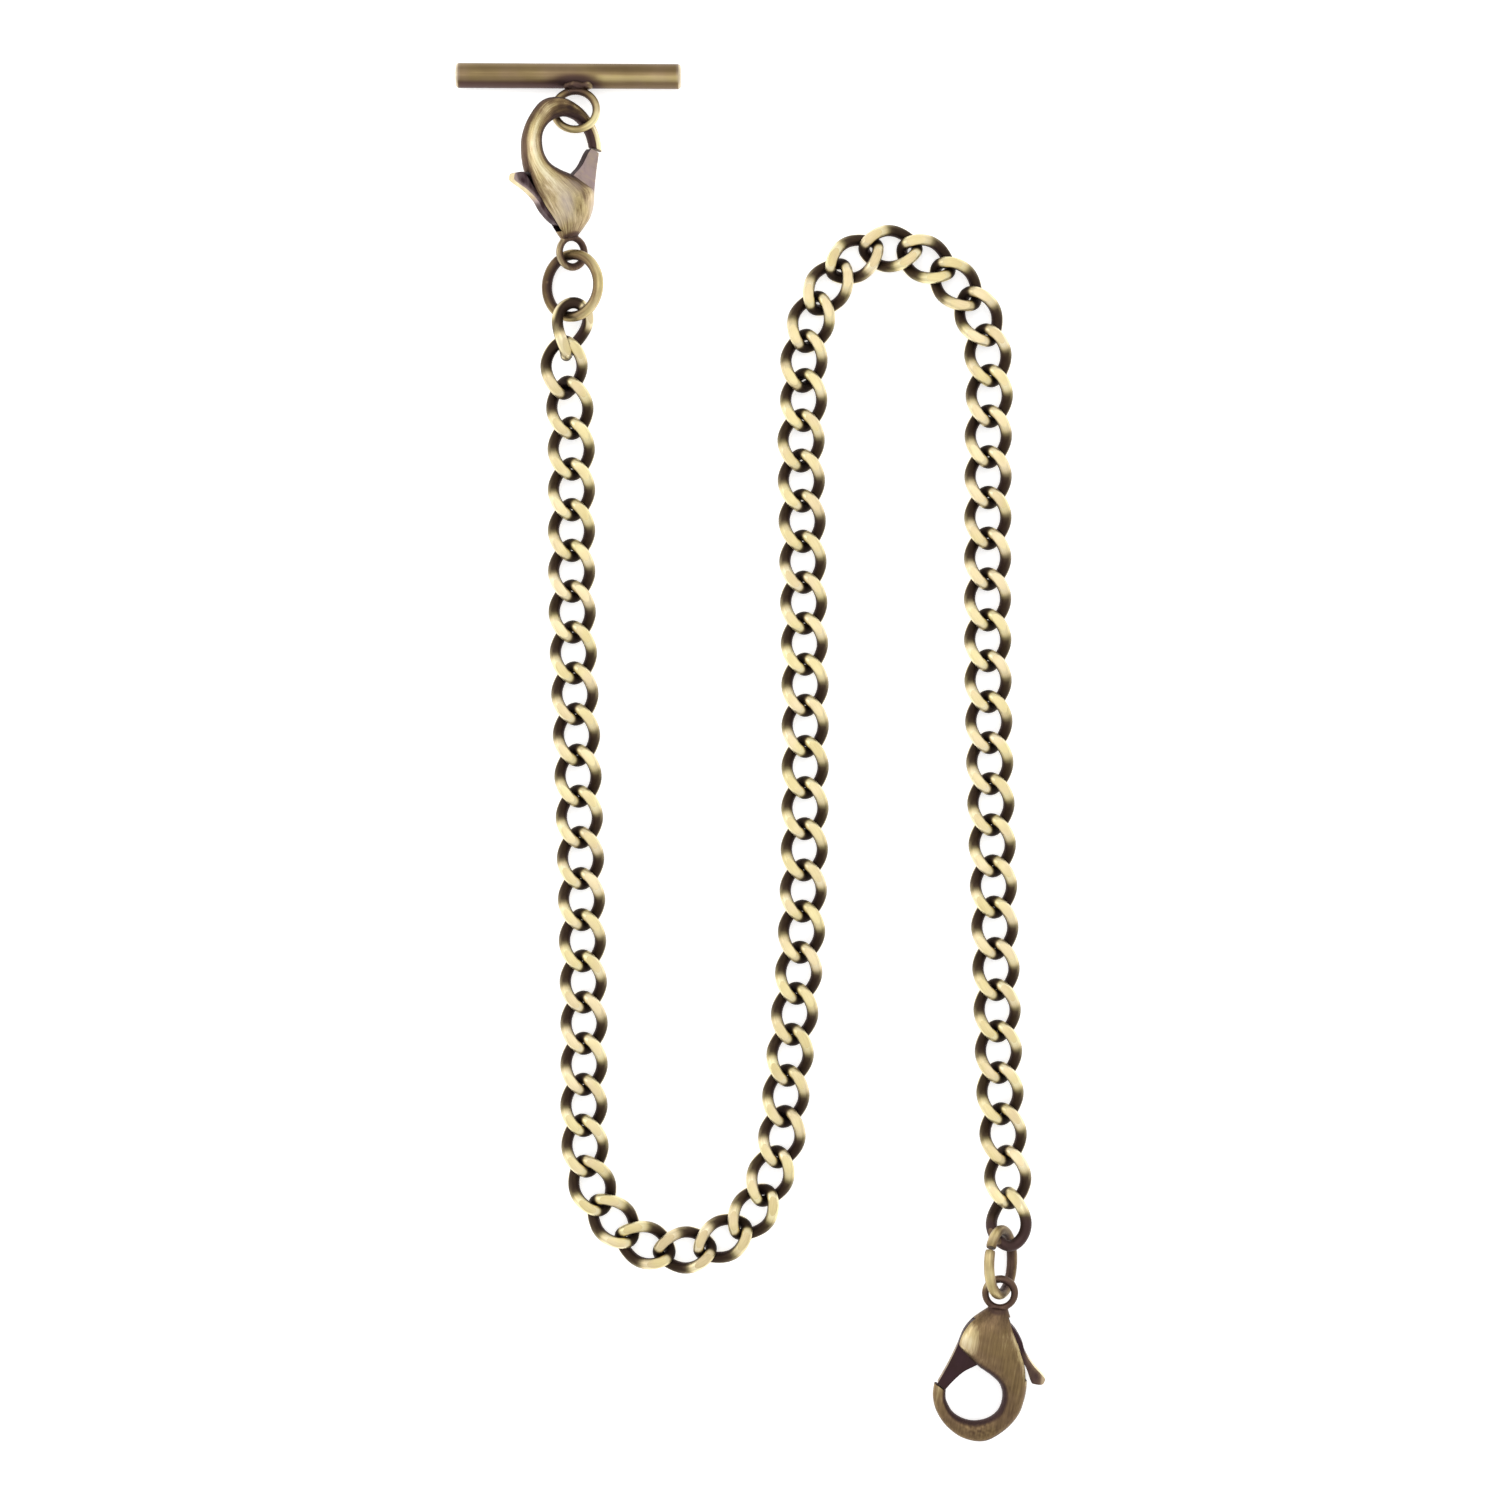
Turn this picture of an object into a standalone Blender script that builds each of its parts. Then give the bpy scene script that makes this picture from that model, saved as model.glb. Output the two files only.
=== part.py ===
"""Pocket watch chain, laid out flat in an S: T-bar, lobster clasp, curb chain, lobster clasp.

Lengths are in millimetres and become metres where a mesh or a place is made. The chain lies on the
plane z = 0, +Y runs from the bottom clasp to the T-bar, and the origin is under the middle of the
whole layout. Each moving piece hangs on an empty on its joint's axis, and each empty hangs on the one
before it, from the T-bar to the bottom clasp.
"""

import math

import bmesh
import bpy
from mathutils import Matrix, Vector

MM = 0.001
# The middle of the layout below, which becomes the origin
LAYOUT_MIDDLE = Vector((-0.04, -0.13, 0))
SMOOTH_ANGLE = math.radians(40)
CUTTER_REACH = 3
WELD = 0.001

# T-bar: a solid rod with a small ring soldered to its side
BAR_LENGTH = 24.75
BAR_RADIUS = 1.37
BAR_CHAMFER = 0.12
CHAMFER_ANGLE = math.radians(60)
BAR_SIDES = 24
BAR_CENTRE = Vector((-19.97, 74.22, BAR_RADIUS))
BAR_TURN = math.radians(-0.3)
BAR_RING_RADIUS = 2.31
BAR_RING_WIRE = 0.43
BAR_RING_POINTS = 20
BAR_RING_OFFSET = Vector((0.83, 0, 0))
BAR_RING_PITCH = math.radians(17)
SOLDER_SIZE = Vector((1.5, 0.8, 0.75))
SOLDER_SEGMENTS = 12
SOLDER_ROWS = 8
SOLDER_GAP = 0.3

# Jump rings: round wire, cut once
JUMP_RADIUS = 3.36
JUMP_WIRE = 0.5
JUMP_POINTS = 24
RING_SIDES = 8
TOP_JUMP_CENTRE = Vector((-19.47, 51.04, 2.55))
TOP_JUMP_TILT = math.radians(-32)
TOP_JUMP_CUT = math.radians(118)
TOP_JUMP_GAP = math.radians(2)
TOP_JUMP_STRETCH = 1.0
BOTTOM_JUMP_CENTRE = Vector((27.42, -55.93, 3.72))
BOTTOM_JUMP_TILT = math.radians(65)
BOTTOM_JUMP_CUT = math.radians(150)
BOTTOM_JUMP_GAP = math.radians(6)
BOTTOM_JUMP_STRETCH = 1.04

# Curb links: oval rings twisted a quarter turn end to end, with flats ground on both faces
LINK_COUNT = 77
LINK_HALF_LENGTH = 3.0
LINK_HALF_WIDTH = 2.11
LINK_WIRE = 0.5
LINK_END_TWIST = math.radians(45)
LINK_POINTS = 12
LINK_SIDES = 6
FLAT_HEIGHT = 1.16
BRIDGE_RADIUS = 0.3
BRIDGE_LENGTH = 0.9
BRIDGE_SIDES = 6

# Where the chain lies: link number, then its centre
STATIONS = (
    (1, -19.64, 46.27), (2, -20.42, 42.10), (3, -19.81, 37.73), (4, -19.66, 33.26),
    (8, -19.56, 15.34), (13, -18.77, -7.23), (18, -18.26, -29.89), (20, -18.27, -38.93),
    (21, -18.16, -43.40), (22, -17.37, -47.78), (23, -15.03, -51.64), (24, -11.55, -54.30),
    (25, -7.18, -54.90), (26, -2.98, -53.69), (27, 0.36, -50.75), (28, 2.23, -46.78),
    (29, 3.50, -42.44), (30, 3.94, -37.94), (34, 5.67, -19.88), (39, 6.07, 2.77),
    (44, 5.74, 25.31), (46, 5.62, 34.16), (47, 5.90, 38.61), (48, 5.93, 42.92),
    (49, 6.71, 47.22), (50, 8.60, 51.09), (51, 11.47, 54.16), (52, 15.46, 55.26),
    (53, 19.38, 54.06), (54, 22.67, 51.31), (55, 25.16, 47.78), (56, 26.18, 43.51),
    (57, 26.32, 39.06), (58, 26.21, 34.60), (64, 26.19, 7.69), (70, 26.93, -19.44),
    (74, 27.50, -37.64), (75, 27.83, -42.16), (76, 28.29, -46.79), (77, 28.34, -51.29),
)
# The ends of the chain ride up over the jump rings: link number, height, roll about its length
LIFTED = {
    1: (2.4, math.radians(-46)),
    2: (2.02, math.radians(-10)),
    3: (1.5, 0.0),
    4: (1.27, 0.0),
    5: (1.19, 0.0),
    74: (1.22, 0.0),
    75: (1.42, 0.0),
    76: (1.95, math.radians(6)),
    77: (2.88, math.radians(25)),
}
# Links are single solids at the ends and round both bends, and joined in twos between them
SINGLE_LINKS = {1, *range(22, 29), *range(49, 57), 77}

# Lobster clasps. Their plan is given from the eye's centre: u towards the hook, v towards the gate
EYE_RADIUS = 1.6
EYE_WIRE = 0.37
EYE_POINTS = 16
EYE_SIDES = 6
SECTION_SIDES = 10
# Each section of the casting: u and v on its gate side, u and v on its thumb side, half thickness
BODY_SECTIONS = (
    (1.65, 0.95, 1.60, -1.15, 0.62), (2.55, 1.90, 2.40, -1.55, 1.12),
    (3.52, 2.80, 3.40, -2.00, 1.50), (4.70, 3.40, 4.40, -2.55, 1.66),
    (5.80, 3.68, 5.30, -3.10, 1.70), (6.50, 3.58, 6.30, -3.58, 1.70),
    (7.35, 2.50, 7.10, -3.98, 1.66), (8.30, 1.28, 8.00, -4.30, 1.58),
    (9.12, -0.36, 9.10, -4.50, 1.42), (10.00, -1.56, 10.20, -4.62, 1.28),
    (11.35, -2.13, 11.50, -4.58, 1.16), (12.95, -1.95, 13.20, -4.24, 1.02),
    (14.05, -1.05, 15.10, -3.10, 0.90), (14.66, 0.30, 16.75, -1.10, 0.84),
    (14.62, 1.62, 16.80, 1.30, 0.82), (14.06, 2.92, 15.75, 3.35, 0.80),
    (12.95, 3.80, 14.25, 4.72, 0.76), (12.20, 4.03, 12.60, 5.40, 0.72),
    (11.68, 4.08, 11.00, 5.48, 0.66),
)
# How far each of the last sections of the upper clasp's longer hook reaches back towards the eye
LONG_TIP = (0.12, 0.32, 0.5, 0.65)
SLOT_HALF = 0.66
SLOT_PLAN = (
    (2.45, 6.5), (9.2, 6.5), (9.2, -0.7), (8.1, -1.9), (8.1, -3.1), (10.0, -5.4), (10.0, -6.5), (2.45, -6.5),
)
LEVER_HALF = 0.54
LEVER_PLAN = (
    (3.0, 1.1), (3.6, 2.35), (4.7, 3.0), (6.4, 3.55), (8.5, 4.24), (10.95, 5.12), (11.5, 4.17), (10.4, 3.46),
    (9.17, 2.46), (8.1, 1.05), (6.9, 0.1), (5.6, -0.55), (5.0, -1.45), (5.5, -2.35), (6.5, -3.1),
    (7.6, -4.1), (9.3, -4.95), (9.4, -6.1), (8.5, -6.3), (7.3, -4.82), (6.0, -3.72), (4.85, -3.2),
    (3.5, -2.1), (3.0, -1.0),
)
# Corners of the lever that meet the hook's tip, and where they are on the longer hook's shorter lever
LEVER_TIP = 5
SHORT_LEVER_TIP = ((10.25, 4.87), (10.85, 3.95))
PIVOT = (4.2, 0.55)
PIN_RADIUS = 0.4
PIN_HOLE_RADIUS = 0.45
PIN_HALF = 1.62
PIN_SIDES = 12
SPRING_ENDS = ((6.05, -0.98), (7.72, -2.42))
SPRING_RADIUS = 0.42
SPRING_WIRE = 0.09
SPRING_TURNS = 4
SPRING_POINTS_PER_TURN = 9
SPRING_SIDES = 4

TOP_CLASP_EYE = Vector((-19.55, 54.75, 2.3))
TOP_CLASP_LEAN = math.radians(7.4)
TOP_CLASP_PITCH = math.radians(8)
TOP_CLASP_ROLL = math.radians(34)
BOTTOM_CLASP_EYE = Vector((27.36, -59.38, 3.5))
BOTTOM_CLASP_LEAN = math.radians(171)
BOTTOM_CLASP_PITCH = math.radians(-8.6)
BOTTOM_CLASP_ROLL = 0.0

# Where each end piece turns on the one before it
TOP_CLASP_PIVOT = Vector((-19.25, 69.6, 2.75))
FIRST_LINK_PIVOT = Vector((-19.6, 48.4, 2.5))
BOTTOM_JUMP_PIVOT = Vector((27.6, -53.4, 3.3))

BRASS = (0.36, 0.27, 0.13, 1.0)
DARK_BRASS = (0.12, 0.08, 0.07, 1.0)
STEEL = (0.45, 0.45, 0.46, 1.0)


def clear_scene():
    for old in list(bpy.data.objects):
        bpy.data.objects.remove(old, do_unlink=True)


def new_collection(name):
    collection = bpy.data.collections.new(name)
    bpy.context.scene.collection.children.link(collection)
    return collection


def new_material(name, colour, roughness):
    material = bpy.data.materials.new(name)
    material.use_nodes = True
    shader = material.node_tree.nodes["Principled BSDF"]
    shader.inputs["Base Color"].default_value = colour
    shader.inputs["Metallic"].default_value = 1.0
    shader.inputs["Roughness"].default_value = roughness
    material.diffuse_color = colour
    return material


def in_metres(point):
    """A point of the layout in metres from the origin."""
    return (point - LAYOUT_MIDDLE) * MM


def new_object(name, mesh, collection, matrix, material=None):
    piece = bpy.data.objects.new(name, mesh)
    collection.objects.link(piece)
    placed = matrix.copy()
    placed.translation = in_metres(matrix.translation)
    piece.matrix_world = placed
    if material:
        mesh.materials.clear()
        mesh.materials.append(material)
    return piece


def add_hinge(name, pivot, collection, before=None):
    """An empty on a joint's axis, hung on the hinge before it."""
    hinge = bpy.data.objects.new(f"{name}_hinge", None)
    collection.objects.link(hinge)
    hinge["pivot"] = in_metres(pivot)
    hinge.location = in_metres(pivot)
    if before:
        hinge.parent = before
        hinge.matrix_parent_inverse = Matrix.Translation(-Vector(before["pivot"]))
    return hinge


def hang(piece, hinge):
    """Parent a piece to a hinge without moving it."""
    piece.parent = hinge
    piece.matrix_parent_inverse = Matrix.Translation(-Vector(hinge["pivot"]))


def hide_cutter(cutter):
    cutter.hide_render = True
    cutter.display_type = "WIRE"


def mesh_from_bmesh(name, bm):
    bmesh.ops.recalc_face_normals(bm, faces=bm.faces)
    mesh = bpy.data.meshes.new(name)
    bm.to_mesh(mesh)
    bm.free()
    return mesh


def curve_to_mesh(name, curve):
    """The curve's evaluated tube or plate as a closed mesh."""
    holder = bpy.data.objects.new(name, curve)
    bpy.context.scene.collection.objects.link(holder)
    graph = bpy.context.evaluated_depsgraph_get()
    mesh = bpy.data.meshes.new_from_object(holder.evaluated_get(graph))
    bpy.data.objects.remove(holder, do_unlink=True)
    bm = bmesh.new()
    bm.from_mesh(mesh)
    bpy.data.meshes.remove(mesh)
    bmesh.ops.remove_doubles(bm, verts=bm.verts, dist=WELD * MM)
    return mesh_from_bmesh(name, bm)


def wire_mesh(name, points, radius, closed, sides):
    """A round wire along points, in millimetres."""
    curve = bpy.data.curves.new(name, "CURVE")
    curve.dimensions = "3D"
    curve.bevel_depth = radius * MM
    curve.bevel_resolution = (sides - 4) // 2
    curve.use_fill_caps = not closed
    spline = curve.splines.new("POLY")
    spline.points.add(len(points) - 1)
    for knot, point in zip(spline.points, points):
        knot.co = (*(Vector(point) * MM), 1.0)
    spline.use_cyclic_u = closed
    return curve_to_mesh(name, curve)


def plate_mesh(name, outline, half):
    """A flat plate: a filled outline in millimetres, extruded both ways."""
    curve = bpy.data.curves.new(name, "CURVE")
    curve.dimensions = "2D"
    curve.fill_mode = "BOTH"
    curve.extrude = half * MM
    spline = curve.splines.new("POLY")
    spline.points.add(len(outline) - 1)
    for knot, (x, y) in zip(spline.points, outline):
        knot.co = (x * MM, y * MM, 0, 1.0)
    spline.use_cyclic_u = True
    return curve_to_mesh(name, curve)


def cylinder_mesh(name, radius, half, sides):
    """A capped cylinder along Z."""
    bm = bmesh.new()
    bmesh.ops.create_cone(
        bm, cap_ends=True, segments=sides, radius1=radius * MM, radius2=radius * MM, depth=2 * half * MM
    )
    return mesh_from_bmesh(name, bm)


def circle_points(radius, count):
    turns = (2 * math.pi * i / count for i in range(count))
    return [(radius * math.cos(t), radius * math.sin(t), 0) for t in turns]


def add_boolean(piece, cutter, operation):
    step = piece.modifiers.new(operation.lower() + "_" + cutter.name, "BOOLEAN")
    step.operation = operation
    step.solver = "EXACT"
    step.object = cutter
    return step


def smooth(mesh):
    mesh.shade_smooth()
    mesh.set_sharp_from_angle(angle=SMOOTH_ANGLE)


# ---- chain ----


def hermite(before, start, end, after, t):
    """Position between two stations, as a cubic whose slopes follow their neighbours."""
    k0, p0 = before
    k1, p1 = start
    k2, p2 = end
    k3, p3 = after
    span = k2 - k1
    slope1 = (p2 - p0) * (span / (k2 - k0)) if k2 != k0 else p2 - p1
    slope2 = (p3 - p1) * (span / (k3 - k1)) if k3 != k1 else p2 - p1
    u = (t - k1) / span
    ease = u * u * (3 - 2 * u)
    return p1 + (p2 - p1) * ease + slope1 * (u * (1 - u) ** 2) - slope2 * (u * u * (1 - u))


def link_centre(number):
    """Centre of a link on the route; a number between two links is between their centres."""
    knots = [(k, Vector((x, y))) for k, x, y in STATIONS]
    last = len(knots) - 2
    i = max([n for n in range(last + 1) if knots[n][0] <= number], default=0)
    flat = hermite(knots[max(i - 1, 0)], knots[i], knots[i + 1], knots[min(i + 2, last + 1)], number)
    low = math.floor(number)
    part = number - low
    heights = [LIFTED.get(k, (FLAT_HEIGHT, 0.0))[0] for k in (low, low + 1)]
    return Vector((flat.x, flat.y, heights[0] * (1 - part) + heights[1] * part))


def link_matrix(number):
    """X along the chain away from the T-bar, Z up, rolled about X."""
    ahead = link_centre(min(number + 1, LINK_COUNT))
    behind = link_centre(max(number - 1, 1))
    along = (ahead - behind).normalized()
    across = Vector((0, 0, 1)).cross(along).normalized()
    up = along.cross(across)
    turn = Matrix((along, across, up)).transposed().to_4x4()
    roll = Matrix.Rotation(LIFTED.get(number, (0, 0.0))[1], 4, "X")
    return Matrix.Translation(link_centre(number)) @ turn @ roll


def link_points():
    """Centre line of one curb link: an ellipse twisted about its long axis."""
    points = []
    for i in range(LINK_POINTS):
        t = 2 * math.pi * i / LINK_POINTS
        twist = LINK_END_TWIST * math.cos(t)
        across = LINK_HALF_WIDTH * math.sin(t)
        points.append((LINK_HALF_LENGTH * math.cos(t), across * math.cos(twist), -across * math.sin(twist)))
    return points


def link_mesh():
    """One link, with the flats ground by levelling whatever stands above them."""
    mesh = wire_mesh("link", link_points(), LINK_WIRE, True, LINK_SIDES)
    flat = FLAT_HEIGHT * MM
    for vertex in mesh.vertices:
        vertex.co.z = max(-flat, min(flat, vertex.co.z))
    smooth(mesh)
    return mesh


def add_chain(parts, cutters, material, before):
    """Every link, singly or in joined pairs. A node is named for its first and last link."""
    mesh = link_mesh()
    number = 1
    while number <= LINK_COUNT:
        single = number in SINGLE_LINKS
        name = f"link_{number:02d}" if single else f"link_{number:02d}_{number + 1:02d}"
        pivot = FIRST_LINK_PIVOT if number == 1 else (link_centre(number - 1) + link_centre(number)) / 2
        hinge = add_hinge(name, pivot, parts, before)
        links = new_object(name, mesh, parts, link_matrix(number), material)
        hang(links, hinge)
        if not single:
            join_next_link(links, mesh, number, cutters)
        before = hinge
        number += 1 if single else 2
    return before


def join_next_link(links, mesh, number, cutters):
    """Unite the next link with this one, by a short bridge where the two would touch."""
    second = new_object(f"second_{number + 1:02d}", mesh, cutters, link_matrix(number + 1))
    bridge_mesh = cylinder_mesh("bridge", BRIDGE_RADIUS, BRIDGE_LENGTH / 2, BRIDGE_SIDES)
    half_way = link_matrix(number)
    half_way.translation = (link_centre(number) + link_centre(number + 1)) / 2
    bridge_place = half_way @ Matrix.Rotation(math.pi / 2, 4, "Y")
    bridge = new_object(f"bridge_{number:02d}", bridge_mesh, cutters, bridge_place)
    for joined in (bridge, second):
        hide_cutter(joined)
        add_boolean(links, joined, "UNION")


# ---- T-bar ----


def add_t_bar(parts, cutters, material):
    along_x = Matrix.Rotation(math.pi / 2, 4, "Y")
    place = Matrix.Translation(BAR_CENTRE) @ Matrix.Rotation(BAR_TURN, 4, "Z")
    rod_mesh = cylinder_mesh("t_bar", BAR_RADIUS, BAR_LENGTH / 2, BAR_SIDES)
    flat_down = Matrix.Rotation(math.pi / BAR_SIDES, 4, "Z")
    rod = new_object("t_bar", rod_mesh, parts, place @ along_x @ flat_down, material)
    ends = rod.modifiers.new("end_chamfer", "BEVEL")
    ends.width = BAR_CHAMFER * MM
    ends.segments = 1
    ends.limit_method = "ANGLE"
    ends.angle_limit = CHAMFER_ANGLE
    smooth(rod_mesh)

    neck = place @ Matrix.Translation(BAR_RING_OFFSET) @ Matrix.Rotation(-BAR_RING_PITCH, 4, "X")
    reach = BAR_RADIUS + BAR_RING_RADIUS + BAR_RING_WIRE
    ring_points = circle_points(BAR_RING_RADIUS, BAR_RING_POINTS)
    ring_mesh = wire_mesh("t_bar_ring", ring_points, BAR_RING_WIRE, True, RING_SIDES)
    ring = new_object("t_bar_ring", ring_mesh, parts, neck @ Matrix.Translation((0, -reach, 0)), material)
    smooth(ring_mesh)

    bm = bmesh.new()
    bmesh.ops.create_uvsphere(bm, u_segments=SOLDER_SEGMENTS, v_segments=SOLDER_ROWS, radius=MM)
    bmesh.ops.scale(bm, vec=SOLDER_SIZE, verts=bm.verts)
    solder_place = neck @ Matrix.Translation((0, -BAR_RADIUS - BAR_RING_WIRE, 0))
    solder = new_object("solder", mesh_from_bmesh("solder", bm), cutters, solder_place)
    clear_mesh = cylinder_mesh("bar_clearance", BAR_RADIUS + SOLDER_GAP, CUTTER_REACH, BAR_SIDES)
    clear_place = place @ Matrix.Translation(BAR_RING_OFFSET) @ along_x
    clearance = new_object("bar_clearance", clear_mesh, cutters, clear_place)
    for cutter, operation in ((solder, "UNION"), (clearance, "DIFFERENCE")):
        hide_cutter(cutter)
        add_boolean(ring, cutter, operation)


# ---- jump rings ----


def jump_ring_mesh(name, cut_angle, gap, stretch):
    """A cut ring in the XY plane; angles run anticlockwise from +X."""
    points = []
    for i in range(JUMP_POINTS + 1):
        t = cut_angle + gap / 2 + (2 * math.pi - gap) * i / JUMP_POINTS
        points.append((JUMP_RADIUS * math.cos(t), stretch * JUMP_RADIUS * math.sin(t), 0))
    return wire_mesh(name, points, JUMP_WIRE, False, RING_SIDES)


def add_jump_ring(name, place, mesh, parts, material, hinge):
    smooth(mesh)
    ring = new_object(name, mesh, parts, place, material)
    hang(ring, hinge)


# ---- lobster clasps ----


def clasp_matrix(eye, lean, pitch, roll):
    """X runs from the eye to the hook, and Y to the thumb side."""
    turn = Matrix.Rotation(math.pi / 2 + lean, 4, "Z")
    return Matrix.Translation(eye) @ turn @ Matrix.Rotation(-pitch, 4, "Y") @ Matrix.Rotation(roll, 4, "X")


def body_sections(long_tip):
    """The casting's sections, with the last ones drawn back towards the eye for the longer hook."""
    sections = list(BODY_SECTIONS)
    if long_tip:
        first = len(sections) - len(LONG_TIP)
        for i, reach in enumerate(LONG_TIP, first):
            gate_u, gate_v, thumb_u, thumb_v, half = sections[i]
            sections[i] = (gate_u - reach, gate_v, thumb_u - reach, thumb_v, half)
    return sections


def lever_plan(long_tip):
    plan = list(LEVER_PLAN)
    if long_tip:
        plan[LEVER_TIP:LEVER_TIP + len(SHORT_LEVER_TIP)] = SHORT_LEVER_TIP
    return plan


def casting_mesh(name, long_tip):
    """The clasp's cast body: oval sections lofted from the neck round to the hook's tip."""
    bm = bmesh.new()
    rings = []
    for gate_u, gate_v, thumb_u, thumb_v, half in body_sections(long_tip):
        gate = Vector((gate_u, -gate_v, 0))
        thumb = Vector((thumb_u, -thumb_v, 0))
        middle = (gate + thumb) / 2
        ring = []
        for side in range(SECTION_SIDES):
            t = 2 * math.pi * side / SECTION_SIDES
            point = middle + (gate - middle) * math.cos(t) + Vector((0, 0, half * math.sin(t)))
            ring.append(bm.verts.new(point * MM))
        rings.append(ring)
    for first, second in zip(rings, rings[1:]):
        for side in range(SECTION_SIDES):
            after = (side + 1) % SECTION_SIDES
            bm.faces.new((first[side], first[after], second[after], second[side]))
    bm.faces.new(rings[0])
    bm.faces.new(rings[-1])
    bmesh.ops.triangulate(bm, faces=[face for face in bm.faces if len(face.verts) == 4])
    return mesh_from_bmesh(name, bm)


def spring_points():
    """A coil between the lever's web and the root of the hook."""
    start, end = (Vector((u, -v, 0)) for u, v in SPRING_ENDS)
    along = end - start
    side = Vector((-along.y, along.x, 0)).normalized()
    up = Vector((0, 0, 1))
    count = SPRING_TURNS * SPRING_POINTS_PER_TURN
    points = []
    for i in range(count + 1):
        t = 2 * math.pi * i / SPRING_POINTS_PER_TURN
        points.append(
            start + along * (i / count) + (side * math.cos(t) + up * math.sin(t)) * SPRING_RADIUS
        )
    return points


def add_clasp(prefix, place, long_tip, parts, cutters, materials, hinge):
    """The body, pin and spring on the clasp's own hinge, and the lever on a hinge at its pin."""
    brass, dark, steel = materials
    pivot_place = place @ Matrix.Translation((PIVOT[0], -PIVOT[1], 0))

    body_mesh = casting_mesh(f"{prefix}_body", long_tip)
    body = new_object(f"{prefix}_body", body_mesh, parts, place, brass)
    eye_points = circle_points(EYE_RADIUS, EYE_POINTS)
    eye_mesh = wire_mesh(f"{prefix}_eye", eye_points, EYE_WIRE, True, EYE_SIDES)
    eye = new_object(f"{prefix}_eye", eye_mesh, cutters, place)
    slot_outline = [(u, -v) for u, v in SLOT_PLAN]
    slot_mesh = plate_mesh(f"{prefix}_slot", slot_outline, SLOT_HALF)
    slot = new_object(f"{prefix}_slot", slot_mesh, cutters, place)
    hole_mesh = cylinder_mesh(f"{prefix}_pin_hole", PIN_HOLE_RADIUS, CUTTER_REACH, PIN_SIDES)
    pin_hole = new_object(f"{prefix}_pin_hole", hole_mesh, cutters, pivot_place)
    for cutter, operation in ((eye, "UNION"), (slot, "DIFFERENCE"), (pin_hole, "DIFFERENCE")):
        hide_cutter(cutter)
        add_boolean(body, cutter, operation)
    smooth(body.data)

    pin_mesh = cylinder_mesh(f"{prefix}_pin", PIN_RADIUS, PIN_HALF, PIN_SIDES)
    pin = new_object(f"{prefix}_pin", pin_mesh, parts, pivot_place, brass)
    smooth(pin_mesh)
    spring_mesh = wire_mesh(f"{prefix}_spring", spring_points(), SPRING_WIRE, False, SPRING_SIDES)
    spring = new_object(f"{prefix}_spring", spring_mesh, parts, place, steel)
    for piece in (body, pin, spring):
        hang(piece, hinge)

    lever_outline = [(u - PIVOT[0], PIVOT[1] - v) for u, v in lever_plan(long_tip)]
    lever_mesh = plate_mesh(f"{prefix}_lever", lever_outline, LEVER_HALF)
    lever = new_object(f"{prefix}_lever", lever_mesh, parts, pivot_place, dark)
    add_boolean(lever, pin_hole, "DIFFERENCE")
    hang(lever, add_hinge(f"{prefix}_lever", pivot_place.translation, parts, hinge))


def build():
    clear_scene()
    parts = new_collection("pocket_watch_chain")
    cutters = new_collection("cutters")
    brass = new_material("antique_brass", BRASS, 0.35)
    dark = new_material("dark_brass", DARK_BRASS, 0.45)
    steel = new_material("spring_steel", STEEL, 0.3)

    add_t_bar(parts, cutters, brass)

    hinge = add_hinge("top_clasp", TOP_CLASP_PIVOT, parts)
    top = clasp_matrix(TOP_CLASP_EYE, TOP_CLASP_LEAN, TOP_CLASP_PITCH, TOP_CLASP_ROLL)
    add_clasp("top_clasp", top, True, parts, cutters, (brass, dark, steel), hinge)

    hinge = add_hinge("top_jump_ring", TOP_CLASP_EYE, parts, hinge)
    place = Matrix.Translation(TOP_JUMP_CENTRE) @ Matrix.Rotation(TOP_JUMP_TILT, 4, "Y")
    mesh = jump_ring_mesh("top_jump_ring", TOP_JUMP_CUT, TOP_JUMP_GAP, TOP_JUMP_STRETCH)
    add_jump_ring("top_jump_ring", place, mesh, parts, brass, hinge)

    hinge = add_chain(parts, cutters, brass, hinge)

    hinge = add_hinge("bottom_jump_ring", BOTTOM_JUMP_PIVOT, parts, hinge)
    place = Matrix.Translation(BOTTOM_JUMP_CENTRE) @ Matrix.Rotation(BOTTOM_JUMP_TILT, 4, "Y")
    mesh = jump_ring_mesh("bottom_jump_ring", BOTTOM_JUMP_CUT, BOTTOM_JUMP_GAP, BOTTOM_JUMP_STRETCH)
    add_jump_ring("bottom_jump_ring", place, mesh, parts, brass, hinge)

    hinge = add_hinge("bottom_clasp", BOTTOM_CLASP_EYE, parts, hinge)
    bottom = clasp_matrix(BOTTOM_CLASP_EYE, BOTTOM_CLASP_LEAN, BOTTOM_CLASP_PITCH, BOTTOM_CLASP_ROLL)
    add_clasp("bottom_clasp", bottom, False, parts, cutters, (brass, dark, steel), hinge)


build()
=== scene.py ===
"""Looks of the pocket watch chain: antiqued brass, brushed on its high spots and dark in its hollows.

Shapes are worked out in millimetres, in the frame of the CAD model, and become metres where a mesh is
made. Every mesh carries its own wear, painted highlights and painted shade as attributes: wear_and_light
(0 for dark patina and painted shade, 1 for bare brass and painted highlights), tint (-1 silvery, 0 bronze,
1 purple-brown patina), and grain (lengths along and across the metal, for the brush marks).
"""

import math

import bmesh
import bpy
import numpy as np
from mathutils import Matrix, Vector
from mathutils.kdtree import KDTree


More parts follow.
